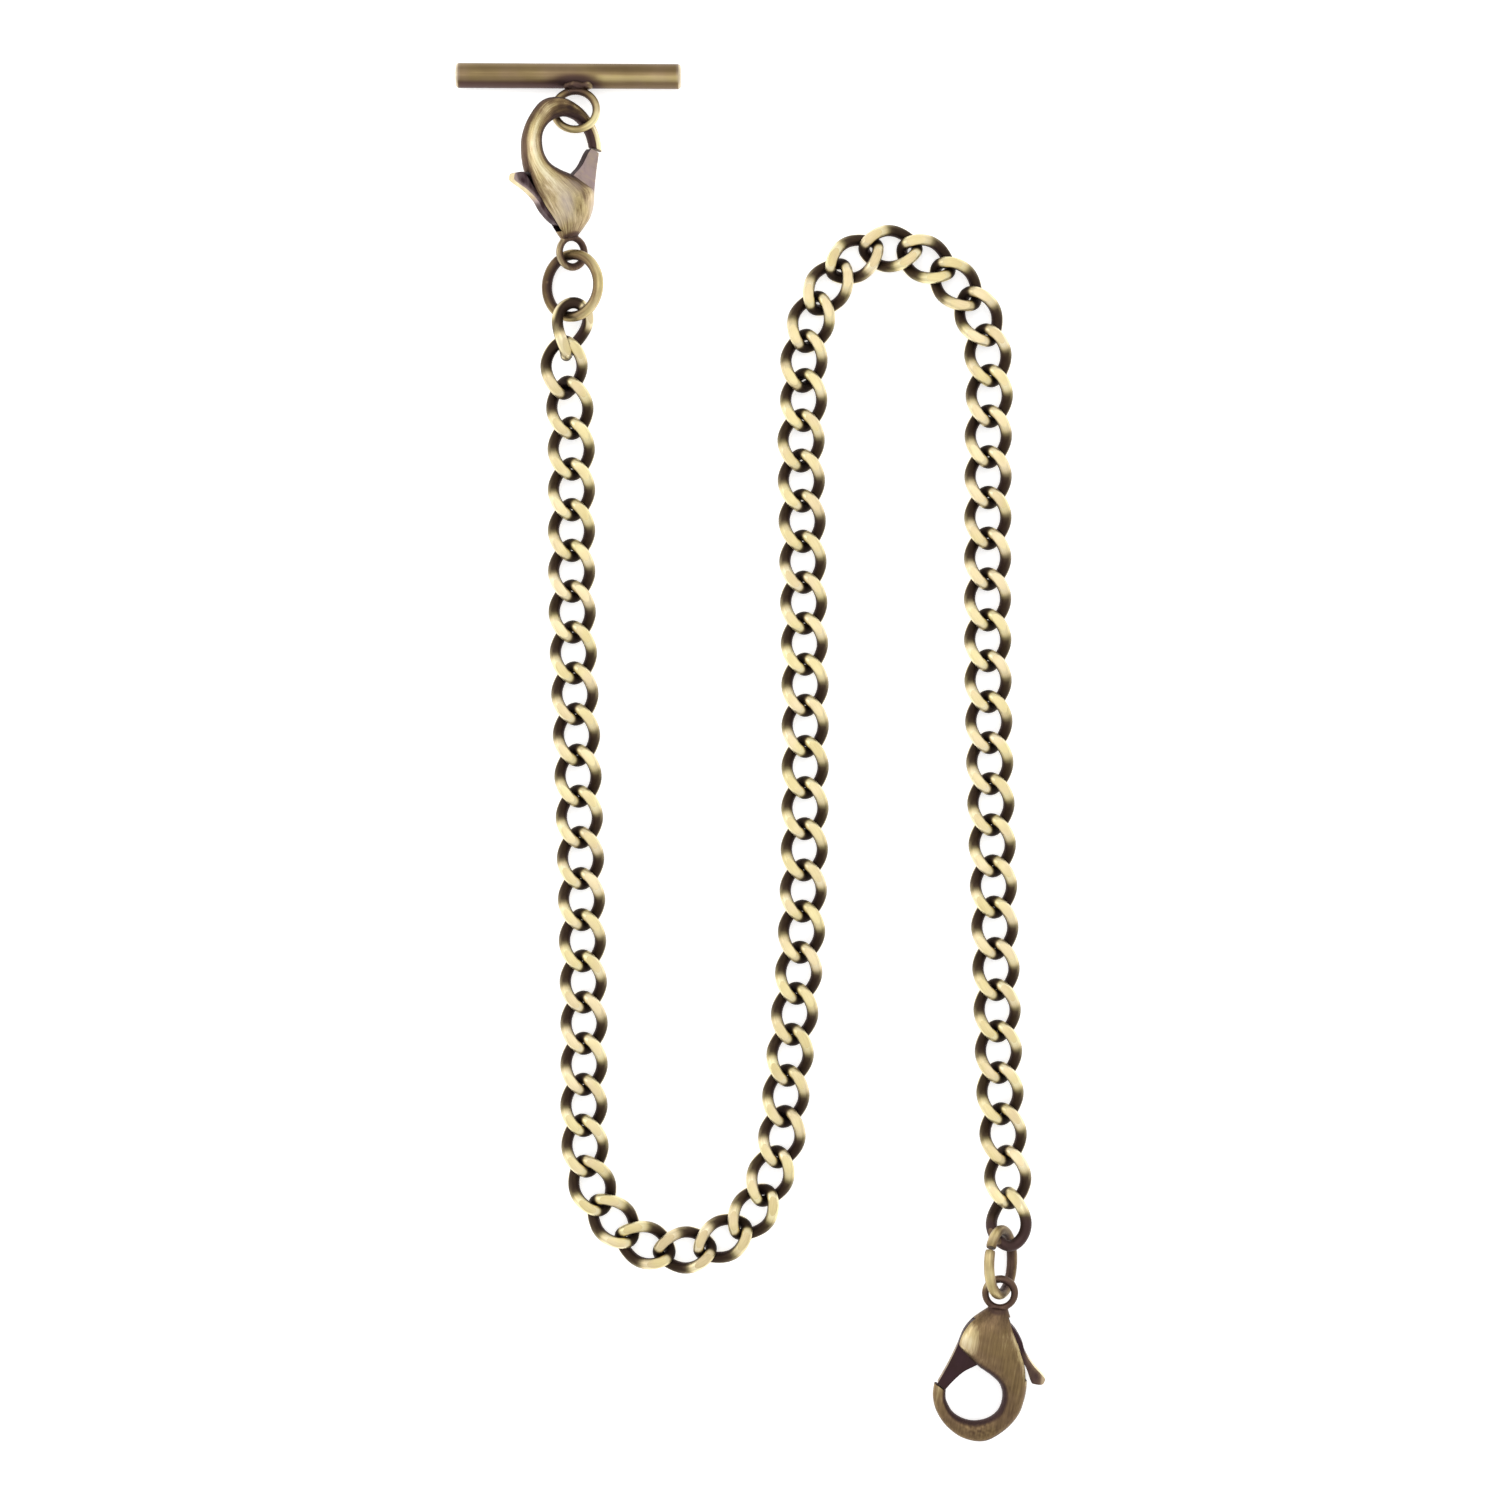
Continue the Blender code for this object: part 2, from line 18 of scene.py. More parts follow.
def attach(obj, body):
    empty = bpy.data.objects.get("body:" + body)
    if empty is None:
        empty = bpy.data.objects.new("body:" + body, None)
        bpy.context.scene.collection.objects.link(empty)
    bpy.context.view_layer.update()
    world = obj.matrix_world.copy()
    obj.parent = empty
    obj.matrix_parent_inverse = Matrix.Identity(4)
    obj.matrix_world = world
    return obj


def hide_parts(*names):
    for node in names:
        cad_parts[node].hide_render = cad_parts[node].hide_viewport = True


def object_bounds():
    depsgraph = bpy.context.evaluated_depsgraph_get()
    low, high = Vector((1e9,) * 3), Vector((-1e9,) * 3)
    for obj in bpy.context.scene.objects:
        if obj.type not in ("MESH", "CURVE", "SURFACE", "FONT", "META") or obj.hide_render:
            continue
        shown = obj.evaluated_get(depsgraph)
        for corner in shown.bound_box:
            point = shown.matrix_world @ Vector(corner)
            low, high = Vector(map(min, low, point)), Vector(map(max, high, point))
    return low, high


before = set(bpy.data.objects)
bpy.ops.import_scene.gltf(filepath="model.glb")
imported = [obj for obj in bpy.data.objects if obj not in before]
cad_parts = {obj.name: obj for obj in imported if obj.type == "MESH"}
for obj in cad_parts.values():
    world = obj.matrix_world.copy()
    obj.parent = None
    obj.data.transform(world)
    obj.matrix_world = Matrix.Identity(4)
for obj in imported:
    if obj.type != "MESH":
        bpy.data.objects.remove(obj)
cad_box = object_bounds()

MM = 0.001
FULL_TURN = 2 * math.pi
LAYOUT_MIDDLE = Vector((-0.04, -0.13, 0))

# ---- the chain's route, as in the CAD ----

LINK_COUNT = 77
STATIONS = (
    (1, -19.64, 46.27), (2, -20.42, 42.10), (3, -19.81, 37.73), (4, -19.66, 33.26),
    (8, -19.56, 15.34), (13, -18.77, -7.23), (18, -18.26, -29.89), (20, -18.27, -38.93),
    (21, -18.16, -43.40), (22, -17.37, -47.78), (23, -15.03, -51.64), (24, -11.55, -54.30),
    (25, -7.18, -54.90), (26, -2.98, -53.69), (27, 0.36, -50.75), (28, 2.23, -46.78),
    (29, 3.50, -42.44), (30, 3.94, -37.94), (34, 5.67, -19.88), (39, 6.07, 2.77),
    (44, 5.74, 25.31), (46, 5.62, 34.16), (47, 5.90, 38.61), (48, 5.93, 42.92),
    (49, 6.71, 47.22), (50, 8.60, 51.09), (51, 11.47, 54.16), (52, 15.46, 55.26),
    (53, 19.38, 54.06), (54, 22.67, 51.31), (55, 25.16, 47.78), (56, 26.18, 43.51),
    (57, 26.32, 39.06), (58, 26.21, 34.60), (64, 26.19, 7.69), (70, 26.93, -19.44),
    (74, 27.50, -37.64), (75, 27.83, -42.16), (76, 28.29, -46.79), (77, 28.34, -51.29),
)
# Height of the middle and roll of the links that don't lie flat
LIFTED = {
    1: (2.4, math.radians(-46)),
    2: (2.02, math.radians(-10)),
    3: (1.5, 0.0),
    4: (1.27, 0.0),
    5: (1.19, 0.0),
    74: (1.22, 0.0),
    75: (1.42, 0.0),
    76: (1.95, math.radians(6)),
    77: (2.88, math.radians(25)),
}

# ---- curb links ----

LINK_HALF_LENGTH = 2.92
LINK_HALF_WIDTH = 1.98
LINK_WIRE = 0.63
LINK_END_TWIST = math.radians(45)
LINK_STEPS = 80
LINK_SIDES = 20
LINK_WIRE_LENGTH = 15.8
LINK_WIRE_GIRTH = 3.9
FLAT_HEIGHT = 1.16
FLAT_EDGE = 0.07
FACET_WEAR = 0.61
LINK_SHARP = 25

# ---- T-bar and its ring ----

BAR_LENGTH = 24.75
BAR_RADIUS = 1.37
BAR_CENTRE = Vector((-19.97, 74.22, BAR_RADIUS))
BAR_TURN = math.radians(-0.3)
BAR_SIDES = 64
# Each turn of the bar's chamfered end: how far in from the end, and its radius
BAR_END = ((0, 0.35), (0.01, 1.0), (0.03, 1.16), (0.09, 1.27), (0.2, 1.34), (0.32, BAR_RADIUS))
BAR_RING_RADIUS = 2.31
BAR_RING_WIRE = 0.43
BAR_RING_OFFSET = 0.83
BAR_RING_PITCH = math.radians(17)
BAR_RING_CUT = math.radians(109)
BAR_RING_GAP = math.radians(1.6)
# Lumps of solder: middle, and radius along each axis
SOLDER_LUMPS = (
    ((0.05, -1.28, 0.22), (1.3, 0.56, 0.8)),
    ((1.2, -1.22, 0.2), (0.72, 0.5, 0.7)),
    ((-0.85, -1.22, 0.1), (0.55, 0.44, 0.6)),
)
SOLDER_VOXEL = 0.06
ROUND_SHARP = 50

# ---- jump rings ----

JUMP_RADIUS = 3.4
JUMP_WIRE = 0.575
JUMP_STEPS = 128
JUMP_SIDES = 28
# Angles in degrees; bright is where on the ring it is lightest, and contrast by how much
TOP_JUMP = dict(
    centre=Vector((-19.47, 51.04, 2.55)), tilt=-32, cut=118, gap=2, stretch=1.0, bright=-20, contrast=0.16
)
BOTTOM_JUMP = dict(
    centre=Vector((27.42, -55.93, 3.72)), tilt=65, cut=150, gap=6, stretch=1.025, bright=190, contrast=0.05
)

# ---- lobster clasps ----

# Plans are in the clasp's own frame: u from the eye to the hook, v from the thumb side to the gate
EYE_RADIUS = 1.56
EYE_WIRE = 0.36
EYE_SWELL = 0.07
CASTING_SIDES = 48
CASTING_ROUNDNESS = 0.94
# Sections of the casting: (u, v) on its gate side, (u, v) on its thumb side, and half its thickness
BODY_SECTIONS = (
    (1.65, 0.95, 1.60, -1.15, 0.62), (2.55, 1.90, 2.40, -1.55, 1.12),
    (3.52, 2.80, 3.40, -2.00, 1.50), (4.70, 3.40, 4.40, -2.55, 1.66),
    (5.80, 3.68, 5.30, -3.10, 1.70), (6.50, 3.58, 6.30, -3.58, 1.70),
    (7.35, 2.50, 7.10, -3.98, 1.66), (8.30, 1.28, 8.00, -4.30, 1.58),
    (9.12, -0.36, 9.10, -4.50, 1.42), (10.00, -1.56, 10.20, -4.62, 1.28),
    (11.35, -2.13, 11.50, -4.58, 1.16), (12.95, -1.95, 13.20, -4.24, 1.02),
    (14.05, -1.05, 15.10, -3.10, 0.90), (14.62, 0.30, 16.75, -1.10, 0.84),
    (14.62, 1.62, 16.80, 1.30, 0.82), (14.06, 2.92, 15.75, 3.35, 0.80),
    (12.95, 3.80, 14.25, 4.72, 0.76), (12.20, 4.03, 12.60, 5.40, 0.72),
    (11.68, 4.08, 11.00, 5.48, 0.66),
)
# How far each of the last sections of the upper clasp's longer hook reaches back towards the eye
LONG_TIP = (0.12, 0.32, 0.5, 0.65)
SLOT_HALF = 0.62
SLOT_PLAN = (
    (3.2, 6.5), (9.2, 6.5), (9.2, -0.7), (8.1, -1.9), (8.1, -3.1), (10.0, -5.4), (10.0, -6.5),
    (2.5, -6.5), (2.45, -2.4), (2.38, -1.0), (2.42, 1.0), (3.05, 1.95),
)
LEVER_HALF = 0.54
LEVER_EDGE = 0.09
LEVER_GATE = ((3.0, 1.5), (3.55, 2.6), (4.7, 3.28), (6.4, 3.66), (8.5, 4.26), (9.8, 4.7))
LEVER_TIP = ((10.8, 5.07), (10.98, 5.1), (11.06, 5.0), (11.5, 4.3), (11.52, 4.18), (11.42, 4.1))
LEVER_SHORT_TIP = (
    (10.05, 4.78), (10.28, 4.83), (10.36, 4.76), (10.82, 4.05), (10.84, 3.93), (10.76, 3.84),
)
LEVER_REST = (
    (10.4, 3.46), (9.17, 2.46), (8.1, 1.05), (6.9, 0.1), (5.6, -0.55), (5.0, -1.45), (5.5, -2.35),
    (6.5, -3.1), (7.6, -4.1), (9.1, -4.92), (9.35, -5.3), (9.3, -6.15), (8.9, -6.4), (8.45, -6.3),
    (7.3, -4.88), (6.0, -3.76), (4.85, -3.2), (3.5, -2.1), (3.0, -1.0),
)
# The last corners of the lever, back to this one, are the outer edge of its thumb tab
LEVER_TAB_END = -8
PIVOT = (4.2, 0.55)
PIN_RADIUS = 0.4
PIN_HALF = 1.45
PIN_WEAR = 0.45
CASTING_SHARP = 40
HOLE_CENTRE = np.array((11.5, 1.0))
VOXEL = 0.085
CLASPS = {
    "top_clasp": dict(eye=Vector((-19.55, 54.75, 2.3)), lean=7.4, pitch=8, roll=34),
    "bottom_clasp": dict(eye=Vector((27.36, -59.38, 3.5)), lean=171, pitch=-8.6, roll=0),
}

# ---- colours, linear ----

CREAM = (0.93, 0.82, 0.55, 1)
PALE_BRASS = (0.66, 0.54, 0.32, 1)
BRONZE = (0.26, 0.18, 0.095, 1)
BROWN = (0.11, 0.068, 0.04, 1)
PATINA = (0.042, 0.026, 0.019, 1)
PURPLE = (0.10, 0.058, 0.060, 1)
MAROON = (0.055, 0.030, 0.034, 1)
MAUVE = (0.40, 0.30, 0.31, 1)
SILVER = (0.66, 0.57, 0.53, 1)
OLIVE_STAIN = (0.94, 1.0, 0.66, 1)
STEEL = (0.45, 0.45, 0.46, 1)
DARK_STEEL = (0.2, 0.19, 0.19, 1)
DARK_MAROON = (0.04, 0.026, 0.024, 1)

# ---- camera and stage ----

# Width of the layout's surface that the camera takes in, and the point that it looks down on
VIEW_WIDTH = 165.0
CAMERA_MIDDLE = Vector((0.04, 0.24, 1.2))
LENS = 100
SENSOR = 36
FLOOR_GLOW = 0.5
FLOOR_GAP = 0.00002
FLOOR_SIZE = 3.0
WHITE = (1, 1, 1, 1)
PAPER = (0.9, 0.9, 0.9, 1)
SKY = 0.95
# Lights, in metres and watts: name, place, size, power
LIGHTS = (("overhead", (0.0, 0.25, 1.1), 0.9, 2.3), ("left_fill", (-0.9, 0.2, 0.5), 0.5, 1.0))


# ---- small tools ----


def smoothstep(low, high, value):
    t = np.clip((np.asarray(value, float) - low) / (high - low), 0, 1)
    return t * t * (3 - 2 * t)


def placed(points, matrix):
    """Points in the layout, moved to the model's frame."""
    turn = np.array(matrix.to_3x3())
    return points @ turn.T + np.array(matrix.translation - LAYOUT_MIDDLE)


def paint(mesh, wear_and_light, tint, grain):
    """Give a mesh its wear: a worn and a tint value and a grain vector for each point."""
    for name, values in (("wear_and_light", wear_and_light), ("tint", tint), ("grain", grain)):
        flat = np.ascontiguousarray(values, np.float32)
        kind, key = ("FLOAT", "value") if flat.ndim == 1 else ("FLOAT_VECTOR", "vector")
        mesh.attributes.new(name, kind, "POINT").data.foreach_set(key, flat.ravel())


def mesh_of(name, points, faces):
    mesh = bpy.data.meshes.new(name)
    mesh.from_pydata((np.asarray(points) * MM).tolist(), [], faces)
    mesh.update()
    return mesh


def new_piece(name, mesh, body, nodes, materials, sharp):
    """A finished piece at rest in the model's frame, riding on its body in place of its CAD nodes."""
    mesh.shade_smooth()
    mesh.set_sharp_from_angle(angle=math.radians(sharp))
    for material in materials:
        mesh.materials.append(material)
    piece = bpy.data.objects.new(name, mesh)
    bpy.context.scene.collection.objects.link(piece)
    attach(piece, body)
    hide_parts(*nodes)


def tube(path, radius, sides, closed):
    """A round wire along a path: points, faces, path step of each point, and its turn round the wire."""
    path = np.asarray(path, float)
    count = len(path)
    if closed:
        ahead = np.roll(path, -1, 0) - np.roll(path, 1, 0)
    else:
        ahead = np.gradient(path, axis=0)
    ahead /= np.linalg.norm(ahead, axis=1)[:, None]
    side = np.cross(ahead[0], (0, 0, 1.0))
    if np.linalg.norm(side) < 0.1:
        side = np.cross(ahead[0], (0, 1.0, 0))
    sides_at = []
    for direction in ahead:
        side = side - direction * side.dot(direction)
        side /= np.linalg.norm(side)
        sides_at.append(side)
    sides_at = np.array(sides_at)
    ups = np.cross(ahead, sides_at)
    if closed:
        last = sides_at[-1] - ahead[0] * sides_at[-1].dot(ahead[0])
        slip = math.atan2(np.dot(last, ups[0]), np.dot(last, sides_at[0]))
        turn = -slip * np.arange(count) / count
        cos, sin = np.cos(turn)[:, None], np.sin(turn)[:, None]
        sides_at, ups = sides_at * cos + ups * sin, ups * cos - sides_at * sin
    angle = FULL_TURN * np.arange(sides) / sides
    spokes = sides_at[:, None] * np.cos(angle)[None, :, None] + ups[:, None] * np.sin(angle)[None, :, None]
    reach = np.broadcast_to(np.asarray(radius, float), (count,))
    points = (path[:, None] + spokes * reach[:, None, None]).reshape(-1, 3)
    faces = []
    for i in range(count if closed else count - 1):
        j = (i + 1) % count
        for k in range(sides):
            m = (k + 1) % sides
            faces.append((i * sides + k, i * sides + m, j * sides + m, j * sides + k))
    if not closed:
        faces.append(tuple(reversed(range(sides))))
        faces.append(tuple((count - 1) * sides + k for k in range(sides)))
    step = np.repeat(np.arange(count), sides)
    return points, faces, step, np.tile(angle, count), spokes.reshape(-1, 3)


def curve_through(rows, parts, closed=False):
    """Catmull-Rom: parts points from each row to the next."""
    rows = np.asarray(rows, float)
    count = len(rows)
    out = []
    for i in range(count if closed else count - 1):
        if closed:
            p0, p1, p2, p3 = (rows[(i + k) % count] for k in (-1, 0, 1, 2))
        else:
            p0, p1, p2, p3 = (rows[min(max(i + k, 0), count - 1)] for k in (-1, 0, 1, 2))
        for t in np.arange(parts) / parts:
            out.append(
                0.5 * (2 * p1 + (p2 - p0) * t + (2 * p0 - 5 * p1 + 4 * p2 - p3) * t**2
                       + (3 * p1 - p0 - 3 * p2 + p3) * t**3)
            )
    if not closed:
        out.append(rows[-1])
    return np.array(out)


def evaluated(mesh, *setups):
    """The mesh after modifiers; each setup is (type, values)."""
    holder = bpy.data.objects.new("holder", mesh)
    bpy.context.scene.collection.objects.link(holder)
    for kind, values in setups:
        modifier = holder.modifiers.new(kind, kind)
        for key, value in values.items():
            setattr(modifier, key, value)
    graph = bpy.context.evaluated_depsgraph_get()
    result = bpy.data.meshes.new_from_object(holder.evaluated_get(graph))
    bpy.data.objects.remove(holder, do_unlink=True)
    return result


def points_of(mesh):
    flat = np.empty(len(mesh.vertices) * 3, np.float32)
    mesh.vertices.foreach_get("co", flat)
    return flat.reshape(-1, 3).astype(float) / MM


def normals_of(mesh):
    flat = np.empty(len(mesh.vertices) * 3, np.float32)
    mesh.vertex_normals.foreach_get("vector", flat)
    return flat.reshape(-1, 3).astype(float)


def move_points(mesh, points):
    mesh.vertices.foreach_set("co", (points * MM).astype(np.float32).ravel())
    mesh.update()


def joined(meshes):
    """Several meshes as one."""
    bm = bmesh.new()
    for mesh in meshes:
        bm.from_mesh(mesh)
    out = bpy.data.meshes.new("joined")
    bm.to_mesh(out)
    bm.free()
    return out


def ripple(points, seed, pitch, count=5):
    """A smooth random field in -1..1 that is the same each run."""
    rng = np.random.default_rng(seed)
    total = np.zeros(len(points))
    for _ in range(count):
        wave = rng.normal(size=3)
        wave *= FULL_TURN / pitch / np.linalg.norm(wave) * rng.uniform(0.6, 1.4)
        total += np.sin(points @ wave + rng.uniform(0, FULL_TURN))
    return total / count


# ---- materials ----


class Graph:
    """Short names for the nodes that the materials use."""

    def __init__(self, name):
        self.material = bpy.data.materials.new(name)
        self.material.use_nodes = True
        self.nodes = self.material.node_tree.nodes
        self.links = self.material.node_tree.links
        self.shader = self.nodes["Principled BSDF"]

    def add(self, kind, inputs=(), **settings):
        node = self.nodes.new("ShaderNode" + kind)
        for key, value in settings.items():
            setattr(node, key, value)
        for key, value in dict(inputs).items():
            self.put(node.inputs[key], value)
        return node

    def put(self, socket, value):
        if isinstance(value, bpy.types.NodeSocket):
            self.links.new(value, socket)
        else:
            socket.default_value = value

    def attribute(self, name, output="Fac"):
        return self.add("Attribute", attribute_name=name).outputs[output]

    def math(self, operation, a, b=0.0, clamp=False):
        node = self.add("Math", operation=operation, use_clamp=clamp)
        self.put(node.inputs[0], a)
        self.put(node.inputs[1], b)
        return node.outputs[0]

    def noise(self, vector, scale, detail=3.0, stretch=None, roughness=0.55):
        if stretch:
            vector = self.add("Mapping", {"Vector": vector, "Scale": stretch}).outputs[0]
        inputs = {"Vector": vector, "Scale": scale, "Detail": detail, "Roughness": roughness}
        return self.add("TexNoise", inputs).outputs[0]

    def mix(self, factor, a, b, blend="MIX"):
        node = self.add("Mix", data_type="RGBA", blend_type=blend)
        self.put(node.inputs[0], factor)
        self.put(node.inputs[6], a)
        self.put(node.inputs[7], b)
        return node.outputs[2]

    def ramp(self, factor, stops):
        node = self.add("ValToRGB", {"Fac": factor})
        elements = node.color_ramp.elements
        while len(elements) < len(stops):
            elements.new(0.5)
        for element, (position, colour) in zip(elements, stops):
            element.position = position
            element.color = colour
        return node.outputs[0]

    def spread(self, value, low, high, to_low, to_high):
        node = self.add(
            "MapRange",
            {"Value": value, "From Min": low, "From Max": high, "To Min": to_low, "To Max": to_high},
        )
        return node.outputs[0]


def antique_brass(name, stops, roughness, brush, blotch, scratch_scale):
    """Metal whose colour runs through stops as its wear and painted light value goes from 0 to 1, broken up
    by streaks and blotches.

    roughness is at that value's 0 and 1; brush and blotch are how strongly streaks and blotches shift it.
    """
    g = Graph(name)
    grain = g.attribute("grain", "Vector")
    place = g.add("TexCoord").outputs["Object"]
    streak = g.noise(grain, 1.0, 4.0, scratch_scale, 0.65)
    fine = g.noise(grain, 3.1, 2.0, scratch_scale, 0.6)
    cloud = g.noise(place, 420.0, 3.0)
    wear_and_light = g.attribute("wear_and_light")
    shift = g.math("MULTIPLY", g.math("SUBTRACT", streak, 0.5), brush)
    cloudy = g.math("MULTIPLY", g.math("SUBTRACT", cloud, 0.5), blotch)
    level = g.math("ADD", g.math("ADD", wear_and_light, shift), cloudy, clamp=True)
    hue = g.spread(g.noise(place, 300.0, 2.0), 0.4, 0.62, 0.0, 0.4)
    colour = g.mix(hue, g.ramp(level, stops), OLIVE_STAIN, "MULTIPLY")
    tint = g.attribute("tint")
    silvered = g.mix(g.math("MULTIPLY", tint, -0.8, clamp=True), colour, SILVER)
    tinted = g.mix(g.math("MULTIPLY", tint, 0.8, clamp=True), silvered, PURPLE)
    g.put(g.shader.inputs["Base Color"], tinted)
    g.shader.inputs["Metallic"].default_value = 1.0
    rough = g.spread(level, 0.0, 1.0, roughness[0], roughness[1])
    g.put(g.shader.inputs["Roughness"], g.math("ADD", rough, g.math("MULTIPLY", fine, 0.12)))
    lines = g.add("Bump", {"Strength": 0.35, "Distance": 0.00002, "Height": fine})
    pits = g.add("Bump", {"Strength": 0.3, "Distance": 0.00004, "Height": cloud, "Normal": lines.outputs[0]})
    g.put(g.shader.inputs["Normal"], pits.outputs[0])
    return g.material


def spring_steel():
    g = Graph("spring_steel_wire")
    place = g.add("TexCoord").outputs["Object"]
    g.put(g.shader.inputs["Base Color"], g.mix(g.noise(place, 900.0), STEEL, DARK_STEEL))
    g.shader.inputs["Metallic"].default_value = 1.0
    g.put(g.shader.inputs["Roughness"], g.spread(g.noise(place, 2500.0), 0.3, 0.7, 0.25, 0.45))
    return g.material


def slot_patina():
    g = Graph("slot_patina")
    place = g.add("TexCoord").outputs["Object"]
    cloud = g.noise(place, 1500.0, 3.0)
    g.put(g.shader.inputs["Base Color"], g.mix(cloud, MAROON, DARK_MAROON))
    g.shader.inputs["Metallic"].default_value = 1.0
    g.put(g.shader.inputs["Roughness"], g.spread(cloud, 0.3, 0.7, 0.5, 0.65))
    return g.material


def make_materials():
    """Every material, by name. Their stops go from patina in the hollows to bare metal on the high spots."""
    wire = antique_brass(
        "link_brass",
        ((0.0, PATINA), (0.3, (0.085, 0.058, 0.036, 1)), (0.55, (0.25, 0.20, 0.11, 1)),
         (0.78, PALE_BRASS), (1.0, (0.90, 0.79, 0.54, 1))),
        (0.45, 0.3), 0.2, 0.16, (0.4, 4.0, 4.0),
    )
    flat = antique_brass(
        "link_facet", ((0.0, BRONZE), (0.5, PALE_BRASS), (1.0, CREAM)),
        (0.5, 0.36), 0.42, 0.2, (0.7, 5.0, 5.0),
    )
    castings = [
        antique_brass(
            f"{prefix}_clasp_brass",
            ((0.0, PATINA), (0.25, BROWN), (0.5, (0.235, 0.155, 0.083, 1)),
             (0.75, (0.60, 0.47, 0.27, 1)), (1.0, (0.96, 0.85, 0.62, 1))),
            (0.46, 0.28), brush, 0.14, scale,
        )
        for prefix, brush, scale in (("top", 0.9, (0.55, 5.6, 5.6)), ("bottom", 0.5, (0.11, 4.6, 4.6)))
    ]
    rod = antique_brass(
        "bar_brass",
        ((0.0, PATINA), (0.25, BROWN), (0.5, (0.235, 0.165, 0.09, 1)),
         (0.75, (0.50, 0.39, 0.205, 1)), (1.0, CREAM)),
        (0.44, 0.3), 0.16, 0.12, (0.05, 4.0, 4.0),
    )
    ring = antique_brass(
        "ring_brass",
        ((0.0, PATINA), (0.25, BROWN), (0.5, (0.24, 0.165, 0.085, 1)),
         (0.75, (0.60, 0.48, 0.26, 1)), (1.0, CREAM)),
        (0.44, 0.28), 0.30, 0.26, (0.3, 2.6, 2.6),
    )
    gates = [
        antique_brass(
            f"{prefix}_gate_brass",
            ((0.0, (0.04, 0.022, 0.025, 1)), (0.25, MAROON), (0.5, face),
             (0.75, (0.52, 0.40, 0.26, 1)), (1.0, CREAM)),
            (0.5, 0.36), 0.12, 0.12, (0.3, 3.0, 3.0),
        )
        for prefix, face in (("top", MAUVE), ("bottom", (0.19, 0.125, 0.085, 1)))
    ]
    return dict(
        wire=wire, flat=flat, rod=rod, ring=ring, top_cast=castings[0], bottom_cast=castings[1],
        top_gate=gates[0], bottom_gate=gates[1], slot=slot_patina(), steel=spring_steel(),
    )


# ---- the chain ----


def link_place():
    """A function from a link's number to its matrix in the layout."""
    knots = [(k, Vector((x, y))) for k, x, y in STATIONS]
    last = len(knots) - 1

    def centre(number):
        i = max([n for n in range(last) if knots[n][0] <= number], default=0)
        before, after = knots[max(i - 1, 0)], knots[min(i + 2, last)]
        (k1, p1), (k2, p2) = knots[i], knots[i + 1]
        span = k2 - k1
        slope1 = (p2 - before[1]) * (span / (k2 - before[0]))
        slope2 = (after[1] - p1) * (span / (after[0] - k1))
        u = (number - k1) / span
        flat = p1 + (p2 - p1) * (u * u * (3 - 2 * u)) + slope1 * (u * (1 - u) ** 2)
        flat -= slope2 * (u * u * (1 - u))
        return Vector((flat.x, flat.y, LIFTED.get(number, (FLAT_HEIGHT, 0))[0]))

    def place(number):
        along = (centre(min(number + 1, LINK_COUNT)) - centre(max(number - 1, 1))).normalized()
        across = Vector((0, 0, 1)).cross(along).normalized()
        turn = Matrix((along, across, along.cross(across))).transposed().to_4x4()
        roll = Matrix.Rotation(LIFTED.get(number, (0, 0.0))[1], 4, "X")
        return Matrix.Translation(centre(number)) @ turn @ roll

    return place


def link_template():
    """One link with its ground flats: its mesh, in its own frame, with wear painted on and a painted
    reflection of a side light on the outward wire beside the flats.
    """
    t = FULL_TURN * np.arange(LINK_STEPS) / LINK_STEPS
    twist = LINK_END_TWIST * np.cos(t)
    across = LINK_HALF_WIDTH * np.sin(t)
    path = np.stack((LINK_HALF_LENGTH * np.cos(t), across * np.cos(twist), -across * np.sin(twist)), 1)
    points, faces, step, angle, spokes = tube(path, LINK_WIRE, LINK_SIDES, True)
    centre = path[step]
    outward = centre[:, :2] / np.linalg.norm(centre[:, :2], axis=1)[:, None]
    facing = np.sum(spokes[:, :2] * outward, axis=1)
    degrees = np.degrees(t[step])
    wear_and_light = np.zeros(len(step))
    for up, phase in ((spokes[:, 2], -degrees % 180), (-spokes[:, 2], degrees % 180)):
        ground = smoothstep(8, 22, phase) * (1 - smoothstep(66, 98, phase))
        ground = ground * smoothstep(-0.25, 0.3, up + 0.45 * facing)
        # Beside each ground flat the outward face of the wire is painted pale: partly rubbed brass, partly a
        # painted reflection of a side light.
        outer = smoothstep(12, 24, phase) * (1 - smoothstep(74, 120, phase))
        outer = 0.66 * outer * smoothstep(0.05, 0.75, facing) * smoothstep(-0.6, 0.1, up)
        wear_and_light = np.maximum(wear_and_light, np.maximum(ground, outer))
    wear_and_light = np.maximum(wear_and_light, 0.05 * smoothstep(0.2, 0.9, facing))
    tint = 0.45 * (1 - wear_and_light) * smoothstep(0.1, 0.9, -facing)
    length = step / LINK_STEPS * LINK_WIRE_LENGTH
    grain = np.stack((length, angle / FULL_TURN * LINK_WIRE_GIRTH, np.zeros(len(length))), 1)

    mesh = mesh_of("link", points, faces)
    paint(mesh, wear_and_light, tint, grain)
    bm = bmesh.new()
    bm.from_mesh(mesh)
    rims = []
    for sign in (1, -1):
        cut = bmesh.ops.bisect_plane(
            bm, geom=bm.verts[:] + bm.edges[:] + bm.faces[:], plane_co=(0, 0, sign * FLAT_HEIGHT * MM),
            plane_no=(0, 0, sign), clear_outer=True,
        )
        edges = [item for item in cut["geom_cut"] if isinstance(item, bmesh.types.BMEdge)]
        filled = bmesh.ops.edgeloop_fill(bm, edges=edges)
        for face in filled["faces"]:
            face.material_index = 1
        rims.extend(edges)
    bmesh.ops.bevel(
        bm, geom=rims, offset=FLAT_EDGE * MM, segments=2, affect="EDGES", profile=0.5, material=-1,
        clamp_overlap=True,
    )
    bmesh.ops.recalc_face_normals(bm, faces=bm.faces)
    bm.to_mesh(mesh)
    bm.free()
    return mesh


